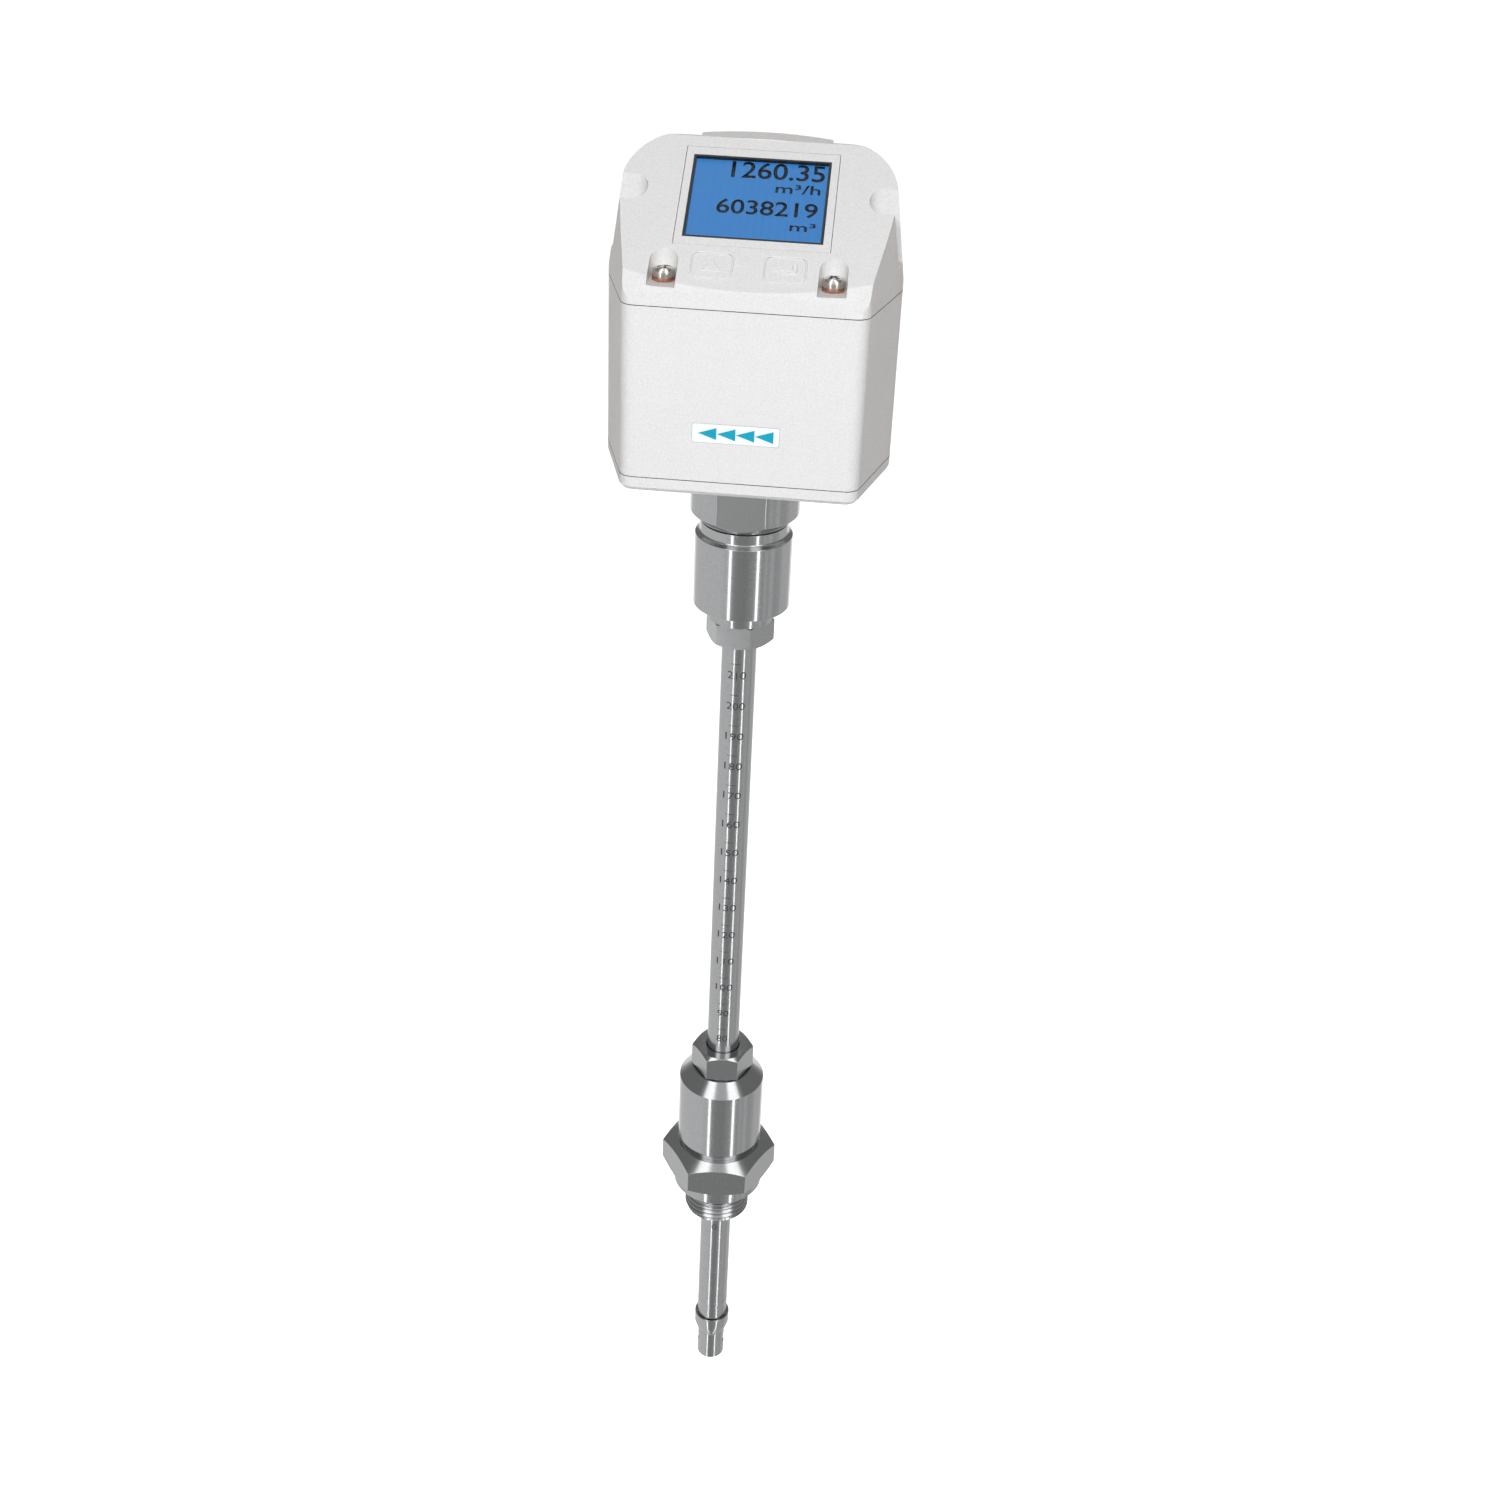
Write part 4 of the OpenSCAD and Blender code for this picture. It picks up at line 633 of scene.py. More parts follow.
class FLOW_SENSOR_OT_fitting(bpy.types.Operator):
    """The screw-in fitting: nipple with thread, collar and hexagon, body and clamping nut"""

    bl_idname = "flow_sensor.fitting"
    bl_label = "Screw-in Fitting"

    def execute(self, context):
        self.nipple(context.scene.flow_sensor_sizes)
        self.body()
        self.nut(context.scene.flow_sensor_sizes.small_hex)
        return {"FINISHED"}

    def nipple(self, sizes):
        """The process thread, the sealing collar above it and the large hexagon."""
        foot, top = low_of("screw_in_nipple").z, high_of("screw_in_nipple").z
        thread_r, bore_r, socket_r, lead = 10.4775 * MM, high_of("guide_bush").x, 9.65 * MM, 1.2 * MM
        thread = helical_thread("process_thread", thread_r, sizes.thread_depth, sizes.thread_pitch,
                                foot, 0, bore_r, lead)
        hand_over(thread, "screw_in_nipple", stands_for=False)
        collar_r, collar_top = 14.5 * MM, 4.9 * MM
        collar = turned("sealing_collar", [
            (bore_r, 0), (collar_r, 0), (collar_r, collar_top), (bore_r, collar_top)])
        hand_over(collar, "screw_in_nipple", stands_for=False)
        low_r, top_r, degrees = 15.5 * MM, 13.5 * MM, 3.65
        hexagon = chamfered_hexagon("nipple_hexagon", sizes.large_hex, degrees, socket_r, collar_top, top,
                                    low_r, top_r)
        hand_over(hexagon, "screw_in_nipple")

    def body(self):
        """The cone-topped body, screwed into the nipple, with its chamber for seal and collet."""
        low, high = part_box("fitting_body")
        bore_r, spigot_r, neck_r, top_r, chamber_r = 5.3 * MM, 9.6 * MM, 12.2 * MM, 9.5 * MM, 8 * MM
        neck_low, neck_top, cone_z = high_of("screw_in_nipple").z, 18.7 * MM, 42.7 * MM
        chamber_z, bevel = 13 * MM, 0.4 * MM
        body = turned("fitting_body_turned", [
            (bore_r, low.z), (spigot_r, low.z), (spigot_r, neck_low), (neck_r, neck_low),
            (neck_r, neck_top), (high.x - bevel, neck_top), (high.x, neck_top + bevel), (high.x, cone_z),
            (top_r, high.z), (chamber_r, high.z), (chamber_r, chamber_z), (bore_r, chamber_z)])
        hand_over(body, "fitting_body")

    def nut(self, flats):
        """The clamping nut: a hexagon with a countersunk hole, and the shank under it."""
        foot, low, top = low_of("clamp_nut").z, 46.9 * MM, high_of("clamp_nut").z
        face_r, hole_r, shank_r, sink, degrees = 8.1 * MM, 5.12 * MM, 7.95 * MM, 0.3 * MM, 4.8
        nut = chamfered_hexagon("clamp_nut_hexagon", flats, degrees, hole_r, low, top, None, face_r, sink)
        hand_over(nut, "clamp_nut")
        shank = turned("clamp_nut_shank", [(hole_r, foot), (shank_r, foot), (shank_r, low), (hole_r, low)])
        hand_over(shank, "clamp_nut", stands_for=False)


class FLOW_SENSOR_OT_probe(bpy.types.Operator):
    """The probe: ground tube with ring marks, safety collar and sensor tip"""

    bl_idname = "flow_sensor.probe"
    bl_label = "Probe"

    def execute(self, context):
        tube_r, bore_r = high_of("probe_tube").x, 4 * MM
        collar_top, joint = high_of("safety_collar").z, low_of("safety_collar").z
        self.tube(bore_r, tube_r, collar_top)
        self.collar(bore_r, tube_r, joint, collar_top)
        self.tip(joint)
        return {"FINISHED"}

    def tube(self, bore_r, tube_r, collar_top):
        """The tube: three fine and two deep ring marks above the collar, each (height, width, depth)."""
        low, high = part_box("probe_tube")
        profile = [(bore_r, low.z), (tube_r, low.z)]
        for rise, width, depth in ((1.6, 0.3, 0.04), (3.2, 0.3, 0.04), (4.8, 0.3, 0.04),
                                   (7.5, 0.45, 0.12), (22.4, 0.45, 0.12)):
            z = collar_top + rise * MM
            profile += [(tube_r, z - width / 2 * MM), (tube_r - depth * MM, z), (tube_r, z + width / 2 * MM)]
        profile += [(tube_r, high.z), (bore_r, high.z)]
        hand_over(turned("graduated_tube", profile, edge=0), "probe_tube")

    def collar(self, bore_r, tube_r, joint, top):
        """The safety collar: a cone up from the tip, and a groove round the tube at its top."""
        tip_r, collar_r = high_of("sensor_tip").x, high_of("safety_collar").x
        cone_z, ledge, groove_z = joint + 3.7 * MM, joint + 1 * MM, top - 0.8 * MM
        groove_r, seat_r = tube_r + 0.4 * MM, tube_r + 0.02 * MM
        collar = turned("safety_collar_turned", [
            (bore_r, joint), (tip_r, joint), (collar_r, cone_z), (collar_r, top), (groove_r, top),
            (groove_r, groove_z), (seat_r, groove_z), (seat_r, ledge), (bore_r, ledge)])
        hand_over(collar, "safety_collar")

    def tip(self, joint):
        """The sensor tip, hollow from above and drilled across for the flow."""
        low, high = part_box("sensor_tip")
        bevel, cavity_r, spigot_r = 0.4 * MM, 2.9 * MM, 3.98 * MM
        hole_r, hole_z, hole_edge = 1.9 * MM, joint - 4.3 * MM, 0.1 * MM
        floor = hole_z - hole_r - 0.5 * MM
        tip = turned("sensor_tip_turned", [
            (high.x - bevel, low.z), (high.x, low.z + bevel), (high.x, joint), (spigot_r, joint),
            (spigot_r, high.z), (cavity_r, high.z), (cavity_r, floor)], solid=True, edge=0)
        bpy.ops.mesh.primitive_cylinder_add(
            vertices=SMALL_ROUND, radius=hole_r, depth=high.x * 3, location=(0, 0, hole_z),
            rotation=(0, math.pi / 2, 0))
        combine(tip, settle(named("flow_hole_drill")), "DIFFERENCE")
        hand_over(break_edges(tip, hole_edge), "sensor_tip")


class FLOW_SENSOR_OT_scale(bpy.types.Operator):
    """The engraved scale: long marks with numbers every ten millimetres, short marks between"""

    bl_idname = "flow_sensor.scale"
    bl_label = "Engraved Scale"

    def execute(self, context):
        sizes = context.scene.flow_sensor_sizes
        digit_width, digit_gap = 1.75 * MM, 0.25 * MM
        marks = []
        for number in range(0, sizes.scale_end + 1, 5):
            z = sizes.scale_zero + number * MM
            long_mark = number % 10 == 0
            width, shift = (5.0 * MM, 0) if long_mark else (2.8 * MM, -0.4 * MM)
            bpy.ops.mesh.primitive_plane_add(size=1, location=(shift, 0, z), rotation=(math.pi / 2, 0, 0))
            mark = named("scale_mark")
            mark.scale = (width, sizes.mark_width, 1)
            marks.append(settle(mark))
            if long_mark:
                text = str(number)
                marks.append(lettering(
                    text, digit_width * len(text), sizes.number_height, (0, z + digit_gap)))
        scale = join(marks, "engraved_scale")
        self.wrap(scale)
        hand_over(scale, "probe_tube", "engraving", stands_for=False)
        return {"FINISHED"}

    def wrap(self, scale):
        """Lays the flat marks on the tube: finely divided, then pressed onto its surface."""
        before, skin, depth = 20 * MM, 0.012 * MM, 0.03 * MM
        start_editing(scale)
        bpy.ops.mesh.quads_convert_to_tris()
        bpy.ops.mesh.subdivide(number_cuts=3)
        bpy.ops.transform.translate(value=(0, -before, 0))
        stop_editing()
        modify(scale, "SHRINKWRAP", target=bpy.data.objects["graduated_tube"], wrap_method="PROJECT",
               use_project_y=True, use_positive_direction=True, use_negative_direction=False,
               wrap_mode="ABOVE_SURFACE", offset=skin)
        modify(scale, "SOLIDIFY", thickness=depth, offset=-1)


class FLOW_SENSOR_OT_coupling(bpy.types.Operator):
    """The coupling under the head: stem hexagon, sleeve and head adapter"""

    bl_idname = "flow_sensor.coupling"
    bl_label = "Head Coupling"

    def execute(self, context):
        self.stem(context.scene.flow_sensor_sizes.small_hex)
        self.sleeve()
        self.adapter(context.scene.flow_sensor_sizes.adapter_flats)
        return {"FINISHED"}

    def stem(self, flats):
        """The hexagon on the stem, its round shoulder and the spigot that the sleeve screws onto."""
        low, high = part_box("stem_hex")
        sleeve_z = low_of("coupling_sleeve").z
        shoulder_r, shoulder_z = 9.3 * MM, sleeve_z - 4.4 * MM
        bore_r, face_r, spigot_r, degrees = 5.02 * MM, 8.2 * MM, 9.98 * MM, -7.4
        hexagon = chamfered_hexagon("stem_hexagon", flats, degrees, bore_r, low.z, shoulder_z,
                                    face_r, shoulder_r)
        hand_over(hexagon, "stem_hex")
        shoulder = turned("stem_shoulder", [
            (bore_r, shoulder_z), (shoulder_r, shoulder_z), (shoulder_r, sleeve_z),
            (spigot_r, sleeve_z), (spigot_r, high.z), (bore_r, high.z)])
        hand_over(shoulder, "stem_hex", stands_for=False)

    def sleeve(self):
        """The coupling sleeve, with a neck on a small fillet at its top."""
        low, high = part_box("coupling_sleeve")
        socket_r, step_r, step_z = 10 * MM, 8.55 * MM, low.z + 11.1 * MM
        neck_r, neck_z, fillet = 12.2 * MM, high.z - 3.1 * MM, 0.35 * MM
        edge_z = neck_z - 0.7 * MM
        sleeve = turned("coupling_sleeve_turned", [
            (socket_r, low.z), (high.x, low.z), (high.x, edge_z), (neck_r + fillet, neck_z - fillet / 3),
            (neck_r, neck_z + fillet), (neck_r, high.z), (step_r, high.z), (step_r, step_z),
            (socket_r, step_z)])
        hand_over(sleeve, "coupling_sleeve")

    def adapter(self, flats):
        """The head adapter, turned, with two milled wrench flats."""
        low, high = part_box("head_adapter")
        foot, head = high_of("coupling_seal").z, low_of("bottom_cover").z
        bore_r, low_r, top_r, bevel = 5 * MM, 8.5 * MM, 10 * MM, 2.45 * MM
        adapter = turned("head_adapter_turned", [
            (bore_r, low.z), (low_r, low.z), (low_r, foot), (high.x - bevel, foot),
            (high.x, foot + bevel), (high.x, head), (top_r, head), (top_r, high.z),
            (bore_r, high.z)], edge=0)
        for side in (-1, 1):
            start_editing(adapter)
            bpy.ops.mesh.bisect(plane_co=(0, side * flats / 2, 0), plane_no=(0, side, 0),
                                use_fill=True, clear_outer=True)
            stop_editing()
        hand_over(break_edges(adapter), "head_adapter")
        adapter.data.materials.append(FINISH["milled_steel"])
        for face in adapter.data.polygons:
            on_flat = abs(abs(face.center.y) - flats / 2) < 0.05 * MM
            if on_flat and abs(face.normal.y) > 0.99:
                face.material_index = 1


class FLOW_SENSOR_OT_shells(bpy.types.Operator):
    """The head's moulded shells: bottom cover, base housing and lid"""

    bl_idname = "flow_sensor.shells"
    bl_label = "Head Shells"

    def execute(self, context):
        sizes = context.scene.flow_sensor_sizes
        for node in ("bottom_cover", "base_housing"):
            dressed_copy(node, node + "_moulded", sizes.shell_edge, segments=3)
        lid = copied("lid", "lid_moulded")
        self.round_slope(lid, sizes.slope_edge)
        hand_over(lid, "lid")
        # Dark rubber lips laid into the lid's and the cover's seams paint the shade in those seams
        self.seam_seal("lid_seam_shade", high_of("lid_gasket").z)
        self.seam_seal("cover_seam_shade", low_of("base_housing").z)
        return {"FINISHED"}

    def seam_seal(self, name, height):
        """A dark copy of the seal's lip, pushed out into a seam almost to its surface, where it paints the
        seam's shade as a thin dark line.
        """
        spread, flatness = 1.33 * MM, 0.06
        lip = copied("lid_gasket", name)
        start_editing(lip)
        bpy.ops.transform.shrink_fatten(value=spread)
        middle = middle_of("lid_gasket").z
        bpy.ops.transform.resize(value=(1, 1, flatness), center_override=(0, 0, middle))
        bpy.ops.transform.translate(value=(0, 0, height - middle))
        stop_editing()
        hand_over(lip, "lid_gasket", stands_for=False)

    def round_slope(self, lid, width):
        """Rounds the rim of the sloped face, then breaks the other sharp edges less."""
        flush, half_wide, below, above, fine = 0.02 * MM, 20.5 * MM, -28 * MM, 17.5 * MM, 0.15 * MM
        start_editing(lid)
        mesh = bmesh.from_edit_mesh(lid.data)
        for edge in mesh.edges:
            ends = [SLOPE_INVERSE @ v.co for v in edge.verts]
            middle = (ends[0] + ends[1]) / 2
            outside = abs(middle.x) > half_wide or not below < middle.y < above
            edge.select_set(outside and all(abs(end.z) < flush for end in ends))
        bmesh.update_edit_mesh(lid.data)
        bpy.ops.mesh.bevel(offset=width, segments=4, affect="EDGES", clamp_overlap=True)
        stop_editing()
        break_edges(lid, fine, angle=MOULDED_ANGLE)


class FLOW_SENSOR_OT_screws(bpy.types.Operator):
    """The lid's four pan-head screws with cross recesses, each on a copper washer"""

    bl_idname = "flow_sensor.screws"
    bl_label = "Lid Screws"

    def execute(self, context):
        head_r, hole_r, washer_r, washer_t, front_x = 2.8 * MM, 1.65 * MM, 2.9 * MM, 1.1 * MM, 21.1 * MM
        low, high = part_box("lid_screws")
        front_floor, back_floor = low_of("screw_washers").z, high_of("screw_washers").z - washer_t
        back_x, front_y, back_y = high.x - head_r, low.y + head_r, high.y - head_r
        screw = self.screw(head_r)
        washer = turned("lid_washer", [
            (hole_r, 0), (washer_r, 0), (washer_r, washer_t), (hole_r, washer_t)], sides=SMALL_ROUND)
        screws, washers = [], []
        # Each screw's place and, in degrees, its cross recess's turn
        for x, y, z, degrees in ((-front_x, front_y, front_floor, 20), (front_x, front_y, front_floor, 50),
                                 (-back_x, back_y, back_floor, 5), (back_x, back_y, back_floor, 70)):
            place = Matrix.Translation((x, y, z)) @ Matrix.Rotation(math.radians(degrees), 4, "Z")
            washers.append(twin_of(washer, "lid_washer_copy", place))
            on_washer = place @ Matrix.Translation((0, 0, washer_t))
            screws.append(twin_of(screw, "pan_head_screw_copy", on_washer))
        discard(screw)
        discard(washer)
        hand_over(join(screws, "pan_head_screws"), "lid_screws")
        hand_over(join(washers, "copper_washers"), "screw_washers")
        return {"FINISHED"}

    def screw(self, head_r):
        """One screw, with its head's underside at the origin."""
        shank_r, length, point, height, bevel = 1.45 * MM, 14 * MM, 1 * MM, 2.37 * MM, 0.07 * MM
        # The head's domed outline, as shares of its radius and height
        dome = ((1, 0), (1, 0.53), (0.975, 0.66), (0.9, 0.77), (0.76, 0.87), (0.55, 0.95), (0.3, 1))
        screw = turned("pan_head_screw", [
            (shank_r * 0.7, -length), (shank_r, point - length), (shank_r, 0),
            *((head_r * r, height * z) for r, z in dome)], solid=True, sides=SMALL_ROUND, edge=0)
        recess = (3.4 * MM, 0.85 * MM, 2.6 * MM)
        for turn in (0, math.pi / 2):
            bpy.ops.mesh.primitive_cube_add(
                size=1, location=(0, 0, height), rotation=(0, 0, turn), scale=recess)
            combine(screw, settle(named("cross_cutter")), "DIFFERENCE")
        return break_edges(screw, bevel)


class FLOW_SENSOR_OT_display(bpy.types.Operator):
    """The display: bezel, black surround, backlit screen, digits and window"""

    bl_idname = "flow_sensor.display"
    bl_label = "Display"

    def execute(self, context):
        fine = 0.05 * MM
        dressed_copy("display_bezel", "display_bezel_moulded", 0.07 * MM)
        dressed_copy("display_frame", "display_surround", fine)
        self.window(fine)
        self.digits()
        return {"FINISHED"}

    def window(self, edge):
        """The window's pane, with its underside raised a little off the screen."""
        near_screen, underside = -0.9 * MM, -0.93 * MM
        window = copied("display_window", "display_window_pane")
        for vertex in window.data.vertices:
            place = SLOPE_INVERSE @ vertex.co
            if place.z < near_screen:
                place.z = underside
                vertex.co = SLOPE @ place
        hand_over(break_edges(window, edge, angle=MOULDED_ANGLE), "display_window")

    def digits(self):
        """Two rows of generic digits with their units, just above the screen."""
        depth, thickness, bold = 0.97 * MM, 0.03 * MM, 0.009
        # Each row's text, middle, lower edge, width and height, in millimetres on the slope
        rows = (("1260.35", 4.25, 7.65, 23.9, 5.65), ("m³/h", 9.8, 3.2, 11.4, 3.1),
                ("6038219", 2.55, -4.7, 25.5, 4.9), ("m³", 12.05, -9.3, 6.5, 2.8))
        digits = join([lettering(text, width * MM, height * MM, (x * MM, y * MM), bold)
                       for text, x, y, width, height in rows], "display_digits")
        digits.data.transform(Matrix.Rotation(-math.pi / 2, 4, "X"))
        modify(digits, "SOLIDIFY", thickness=thickness, offset=0)
        digits.data.transform(SLOPE @ Matrix.Translation((0, 0, -depth)))
        hand_over(digits, "display_module", "digit_ink", stands_for=False)


class FLOW_SENSOR_OT_keys(bpy.types.Operator):
    """The two keys with their raised signs"""

    bl_idname = "flow_sensor.keys"
    bl_label = "Keys"

    def execute(self, context):
        # The signs' outlines, in millimetres across and up the key
        triangle = ((-2.3, -1.7), (2.3, -1.7), (0, 2.0))
        enter_arrow = ((-3.0, -0.5), (-1.0, 0.7), (-1.0, 0), (1.8, 0), (1.8, 2.0), (2.8, 2.0), (2.8, -1.0),
                       (-1.0, -1.0), (-1.0, -1.7))
        edge, corners = 0.05 * MM, math.radians(20)
        for node, name, sign in (
                ("button_up", "up_sign", triangle), ("button_enter", "enter_sign", enter_arrow)):
            dressed_copy(node, node + "_moulded", edge, angle=corners)
            hand_over(self.outline(name, sign, node), node, stands_for=False)
            hand_over(self.rim(node), "lid", stands_for=False)
        return {"FINISHED"}

    def rim(self, node):
        """The lid's low moulded bead round a key, over the gap."""
        half_w, half_h, corner = 5.12, 4.12, 1.7
        points = []
        for quarter, (x, y) in enumerate(((1, 1), (-1, 1), (-1, -1), (1, -1))):
            for step in range(9):
                turn = (quarter + step / 8) * math.pi / 2
                points.append((x * (half_w - corner) + corner * math.cos(turn),
                               y * (half_h - corner) + corner * math.sin(turn)))
        return self.outline(node + "_rim", points, node, 0.26 * MM, 0.2 * MM, 0.8)

    def outline(self, name, points, node, width=0.2 * MM, lift=0.05 * MM, flatness=1.0):
        """A raised line along points, given in millimetres, on the key's face."""
        centre = SLOPE_INVERSE @ middle_of(node)
        curve = bpy.data.curves.new(name, "CURVE")
        curve.dimensions = "3D"
        spline = curve.splines.new("POLY")
        spline.points.add(len(points) - 1)
        for point, (x, y) in zip(spline.points, points):
            point.co = (x * MM, y * MM, 0, 1)
        spline.use_cyclic_u = True
        curve.bevel_depth = width
        curve.bevel_resolution = 2
        line = bpy.data.objects.new(name, curve)
        bpy.context.scene.collection.objects.link(line)
        make_active(line)
        bpy.ops.object.convert(target="MESH")
        line = named(name)
        place = SLOPE @ Matrix.Translation((centre.x, KEY_DROP, lift))
        line.data.transform(place @ Matrix.Diagonal((1, 1, flatness, 1)))
        make_active(line)
        bpy.ops.object.shade_smooth_by_angle(angle=SMOOTH_ANGLE)
        return line


class FLOW_SENSOR_OT_label(bpy.types.Operator):
    """The flow label with its four arrows"""

    bl_idname = "flow_sensor.label"
    bl_label = "Flow Label"

    def execute(self, context):
        low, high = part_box("arrow_label")
        self.film(middle_of("arrow_label"), high - low)
        self.arrows(middle_of("arrow_label"), low.y)
        return {"FINISHED"}

    def film(self, centre, size):
        """The label's film with rounded corners, and under it a grey rim, a little wider, that paints the
        shade round the film's edge.
        """
        corner_r, border, sunk, bevel = 0.5 * MM, 0.1 * MM, 0.5, 0.04 * MM
        bpy.ops.mesh.primitive_plane_add(size=1, location=centre, rotation=(math.pi / 2, 0, 0))
        label = named("flow_label")
        label.scale = (size.x, size.z, 1)
        settle(label)
        start_editing(label)
        bpy.ops.mesh.bevel(offset=corner_r, segments=5, affect="VERTICES")
        bpy.ops.mesh.extrude_region_move(TRANSFORM_OT_translate={"value": (0, size.y, 0)})
        bpy.ops.mesh.select_all(action="SELECT")
        bpy.ops.transform.translate(value=(0, -size.y / 2, 0))
        bpy.ops.mesh.normals_make_consistent(inside=False)
        stop_editing()
        # The grey rim shows 0.1 mm round the film as painted shade along its edge
        wider = Matrix.Diagonal((1 + 2 * border / size.x, sunk, 1 + 2 * border / size.z, 1))
        rim = twin_of(label, "label_edge_shade", Matrix.Translation(centre) @ wider @ Matrix.Translation(-centre))
        hand_over(break_edges(rim, 0), "arrow_label", "label_edge_shade", stands_for=False)
        hand_over(break_edges(label, bevel, angle=math.radians(60)), "arrow_label")

    def arrows(self, centre, front):
        """Four flow arrows in a row, printed on the film."""
        count, pitch, length, height = 4, 4.85 * MM, 4.75 * MM, 3.2 * MM
        lift, ink = 0.01 * MM, 0.02 * MM
        arrows = []
        for i in range(count):
            bpy.ops.mesh.primitive_circle_add(vertices=3, radius=1, fill_type="NGON")
            arrow = named("flow_arrow")
            x = centre.x + (i - (count - 1) / 2) * pitch
            for vertex, (along, up) in zip(arrow.data.vertices, ((-1, 0), (1, -1), (1, 1))):
                vertex.co = (x + along * length / 2, front - lift, centre.z + up * height / 2)
            arrows.append(arrow)
        arrows = face_outwards(join(arrows, "flow_arrows"))
        modify(arrows, "SOLIDIFY", thickness=ink, offset=0)
        hand_over(arrows, "arrow_label", "arrow_ink", stands_for=False)


class FLOW_SENSOR_OT_connectors(bpy.types.Operator):
    """The two connectors at the head's back, each with its threaded shell"""

    bl_idname = "flow_sensor.connectors"
    bl_label = "Connectors"

    def execute(self, context):
        sizes = context.scene.flow_sensor_sizes
        thread_r, bore_r, flange_r, flange_t, shank = 6 * MM, 4.45 * MM, 7.6 * MM, 1.5 * MM, 8 * MM
        lead, bevel, groove_z = 0.5 * MM, 0.15 * MM, flange_t / 2
        groove_r, neck_r = flange_r - groove_z, thread_r - sizes.plug_depth
        for node in ("left_plug_shell", "right_plug_shell"):
            low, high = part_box(node)
            centre = middle_of(node)
            thread = helical_thread(node + "_thread", thread_r, sizes.plug_depth, sizes.plug_pitch, flange_t,
                                    high.y - low.y - shank, bore_r, lead)
            flange = turned(node + "_flange", [
                (bore_r, -shank), (neck_r, -shank), (neck_r, groove_z), (groove_r, groove_z),
                (groove_r, 0), (flange_r, 0), (flange_r, flange_t), (bore_r, flange_t)], edge=bevel)
            seat = Matrix.Translation((centre.x, low.y + shank, centre.z))
            for piece in (thread, flange):
                piece.data.transform(seat @ Matrix.Rotation(-math.pi / 2, 4, "X"))
                hand_over(piece, node, "turned_nickel", stands_for=piece is flange)
        return {"FINISHED"}


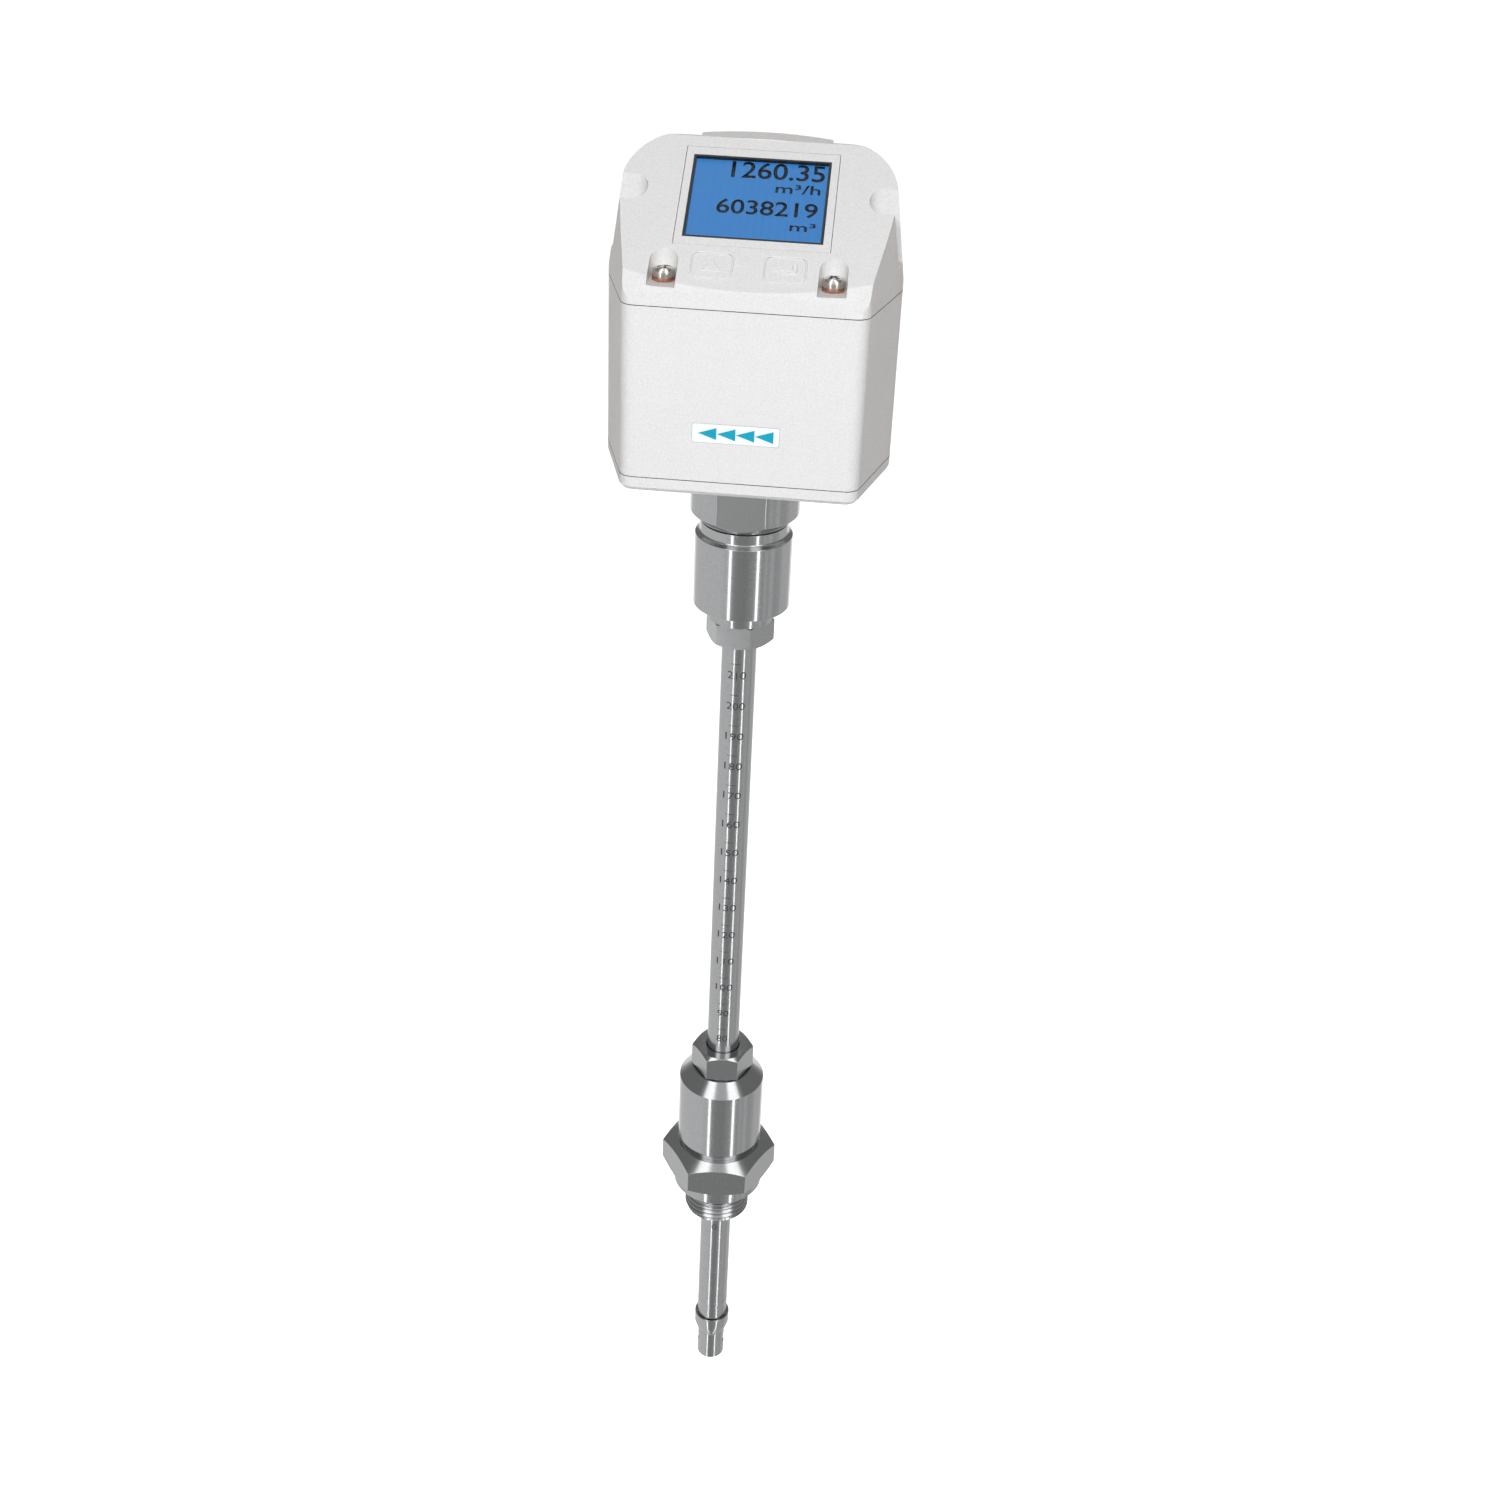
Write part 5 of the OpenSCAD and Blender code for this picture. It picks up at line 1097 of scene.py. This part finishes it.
class FLOW_SENSOR_OT_stage(bpy.types.Operator):
    """The pale floor, the camera and the studio light"""

    bl_idname = "flow_sensor.stage"
    bl_label = "Stage"

    def execute(self, context):
        self.camera(context.scene)
        self.floor()
        self.lamps()
        self.world(context.scene)
        context.scene.view_settings.view_transform = "Standard"
        return {"FINISHED"}

    def camera(self, scene):
        """The photograph's viewpoint: it looks down on the head, a little from the right."""
        place = Vector((39.05, -481.83, 445.6)) * MM
        right = Vector((0.9947, 0.0946, 0.0394)).normalized()
        ahead = Vector((-0.0643, 0.8752, -0.4793))
        ahead = (ahead - right * ahead.dot(right)).normalized()
        data = bpy.data.cameras.new("camera")
        data.lens, data.sensor_width, data.shift_y = 45.91, 36, -0.036
        camera = bpy.data.objects.new("camera", data)
        scene.collection.objects.link(camera)
        turn = Matrix((right, right.cross(ahead), -ahead)).transposed()
        camera.matrix_world = Matrix.Translation(place) @ turn.to_4x4()
        scene.camera = camera

    def floor(self):
        """A wide pale floor under the probe, which takes its shadow and is white to the camera."""
        width, drop = 12, 0.16
        bpy.ops.mesh.primitive_plane_add(size=width, location=(0, 0, CAD_BOX[0].z - drop))
        floor = named("floor")
        material, tree, shader = new_material("pale_floor", {
            "Base Color": srgb("E8E8E8"), "Roughness": 0.9, "Emission Color": srgb("FFFFFF")})
        rays = add_node(tree, "LightPath")
        glow = add_node(tree, "Math", {"operation": "MULTIPLY", 1: 0.9},
                        {0: rays.outputs["Is Camera Ray"]})
        tree.links.new(glow.outputs[0], shader.inputs["Emission Strength"])
        floor.data.materials.append(material)
        floor.visible_glossy = False

    def lamps(self):
        """Two broad soft lamps in front of the head, left and right of the camera, and one behind it."""
        target, distance = Vector((0, 0, 0.24)), 1.3
        # Each lamp's direction round from the front and up, in degrees, its watts and its width
        for name, round_from_front, rise, watts, width in (
                ("left_softbox", -9, 29, 8.0, 0.5), ("right_softbox", 14, 29, 8.0, 0.5),
                ("back_softbox", 183, 32, 6.0, 0.7)):
            data = bpy.data.lights.new(name, "AREA")
            data.color = srgb("F1F8FF")[:3]
            data.energy, data.size = watts, width
            lamp = bpy.data.objects.new(name, data)
            bpy.context.scene.collection.objects.link(lamp)
            a, e = math.radians(round_from_front), math.radians(rise)
            away = Vector((math.sin(a) * math.cos(e), -math.cos(a) * math.cos(e), math.sin(e)))
            lamp.location = target + away * distance
            lamp.rotation_mode = "QUATERNION"
            lamp.rotation_quaternion = away.to_track_quat("Z", "Y")
            lamp.visible_glossy = False

    def world(self, scene):
        """An even soft surround, white to the camera and through clear pieces. Gloss sees a studio: two
        tall strip lamps in a darker front, grey walls at the sides, a white wall behind, and overhead
        two broad lamps in a dark ceiling."""
        world = bpy.data.worlds.new("studio")
        scene.world = world
        world.use_nodes = True
        tree = world.node_tree
        tree.nodes.clear()
        place = add_node(tree, "TexCoord")
        ahead = add_node(tree, "Mapping", {"Rotation": (0, 0, -STUDIO_TURN)},
                         {"Vector": place.outputs["Generated"]})
        axes = add_node(tree, "SeparateXYZ", None, {"Vector": ahead.outputs["Vector"]})
        walls = self.ring_of_light(tree, axes, 0, (
            (-180, 0.25), (-150, 0.25), (-146, 0.17), (-100, 0.18), (-50, 0.18), (-33, 0.15), (-31.5, 0.14),
            (-30.5, 1.0), (-27.5, 1.0), (-26.5, 0.11), (-12, 0.08), (8, 0.075), (28, 0.10), (34.5, 0.11),
            (35.5, 1.0), (38.5, 1.0), (39.5, 0.13), (50, 0.10), (57, 0.14), (65, 0.11), (74, 0.15),
            (83, 0.11), (100, 0.12), (108, 0.15), (146, 0.14), (150, 0.25), (180, 0.25)))
        ceiling = self.ring_of_light(tree, axes, 0.766, (
            (-180, 0.05), (-32, 0.055), (-26, 0.09), (-22, 0.45), (-12, 0.5), (-7, 0.17), (3, 0.15),
            (9, 0.17), (13, 0.5), (25, 0.45), (29, 0.09), (35, 0.055), (180, 0.05)))
        above = add_node(tree, "MapRange", {"From Min": -0.15, "From Max": 0.1},
                         {"Value": axes.outputs["Z"]})
        room = add_node(tree, "Mix", {"data_type": "RGBA"}, {
            "Factor": above.outputs[0], "A": walls.outputs["Color"], "B": ceiling.outputs["Color"]})
        studio = add_node(tree, "Background", {"Strength": 4.0},
                          {"Color": room.outputs["Result"]})
        soft = add_node(tree, "Background", {"Color": srgb("FFEFE2"), "Strength": 0.215})
        white = add_node(tree, "Background", {"Color": srgb("FFFFFF"), "Strength": 1.0})
        rays = add_node(tree, "LightPath")
        gloss = add_node(tree, "MixShader", None, {
            0: rays.outputs["Is Glossy Ray"], 1: soft.outputs[0], 2: studio.outputs[0]})
        clear = add_node(tree, "Math", {"operation": "MAXIMUM"}, {
            0: rays.outputs["Is Camera Ray"], 1: rays.outputs["Is Transmission Ray"]})
        seen = add_node(tree, "MixShader", None, {
            0: clear.outputs[0], 1: gloss.outputs[0], 2: white.outputs[0]})
        add_node(tree, "OutputWorld", None, {"Surface": seen.outputs[0]})

    def ring_of_light(self, tree, axes, behind, levels):
        """Grey levels by the angle, in degrees, round a point this far behind the object."""
        front = add_node(tree, "Math", {"operation": "SUBTRACT", 0: behind},
                         {1: axes.outputs["Y"]})
        angle = add_node(tree, "Math", {"operation": "ARCTAN2"},
                         {0: axes.outputs["X"], 1: front.outputs[0]})
        share = add_node(tree, "Math", {"operation": "MULTIPLY_ADD", 1: 1 / FULL_TURN, 2: 0.5},
                         {0: angle.outputs[0]})
        ramp = add_node(tree, "ValToRGB", None, {"Fac": share.outputs[0]})
        stops = ramp.color_ramp.elements
        while len(stops) < len(levels):
            stops.new(0.5)
        for stop, (degrees, level) in zip(stops, levels):
            stop.position = degrees / 360 + 0.5
            stop.color = (level, level, level, 1)
        return ramp


class FLOW_SENSOR_PT_panel(bpy.types.Panel):
    """Lists the sensor's sizes, colours and steps"""

    bl_idname = "FLOW_SENSOR_PT_panel"
    bl_label = "Flow Sensor"
    bl_space_type = "VIEW_3D"
    bl_region_type = "UI"
    bl_category = "Flow Sensor"

    def draw(self, context):
        for group in (context.scene.flow_sensor_sizes, context.scene.flow_sensor_colours):
            for name in group.__annotations__:
                self.layout.prop(group, name)
        for step in STEPS:
            self.layout.operator(step.bl_idname)


STEPS = (
    FLOW_SENSOR_OT_finishes, FLOW_SENSOR_OT_stage, FLOW_SENSOR_OT_fitting, FLOW_SENSOR_OT_probe,
    FLOW_SENSOR_OT_scale, FLOW_SENSOR_OT_coupling, FLOW_SENSOR_OT_shells, FLOW_SENSOR_OT_screws,
    FLOW_SENSOR_OT_display, FLOW_SENSOR_OT_keys, FLOW_SENSOR_OT_label, FLOW_SENSOR_OT_connectors)
GROUPS = (SensorSizes, SensorColours)


def register():
    """Registers the classes and the scene's two property groups."""
    for cls in (*GROUPS, *STEPS, FLOW_SENSOR_PT_panel):
        bpy.utils.register_class(cls)
    bpy.types.Scene.flow_sensor_sizes = bpy.props.PointerProperty(type=SensorSizes)
    bpy.types.Scene.flow_sensor_colours = bpy.props.PointerProperty(type=SensorColours)


def unregister():
    """Takes away what register added."""
    del bpy.types.Scene.flow_sensor_sizes
    del bpy.types.Scene.flow_sensor_colours
    for cls in (FLOW_SENSOR_PT_panel, *reversed(STEPS), *reversed(GROUPS)):
        bpy.utils.unregister_class(cls)


def main():
    """Runs every step."""
    register()
    for step in STEPS:
        group, name = step.bl_idname.split(".")
        getattr(getattr(bpy.ops, group), name)()


if __name__ == "__main__":
    main()
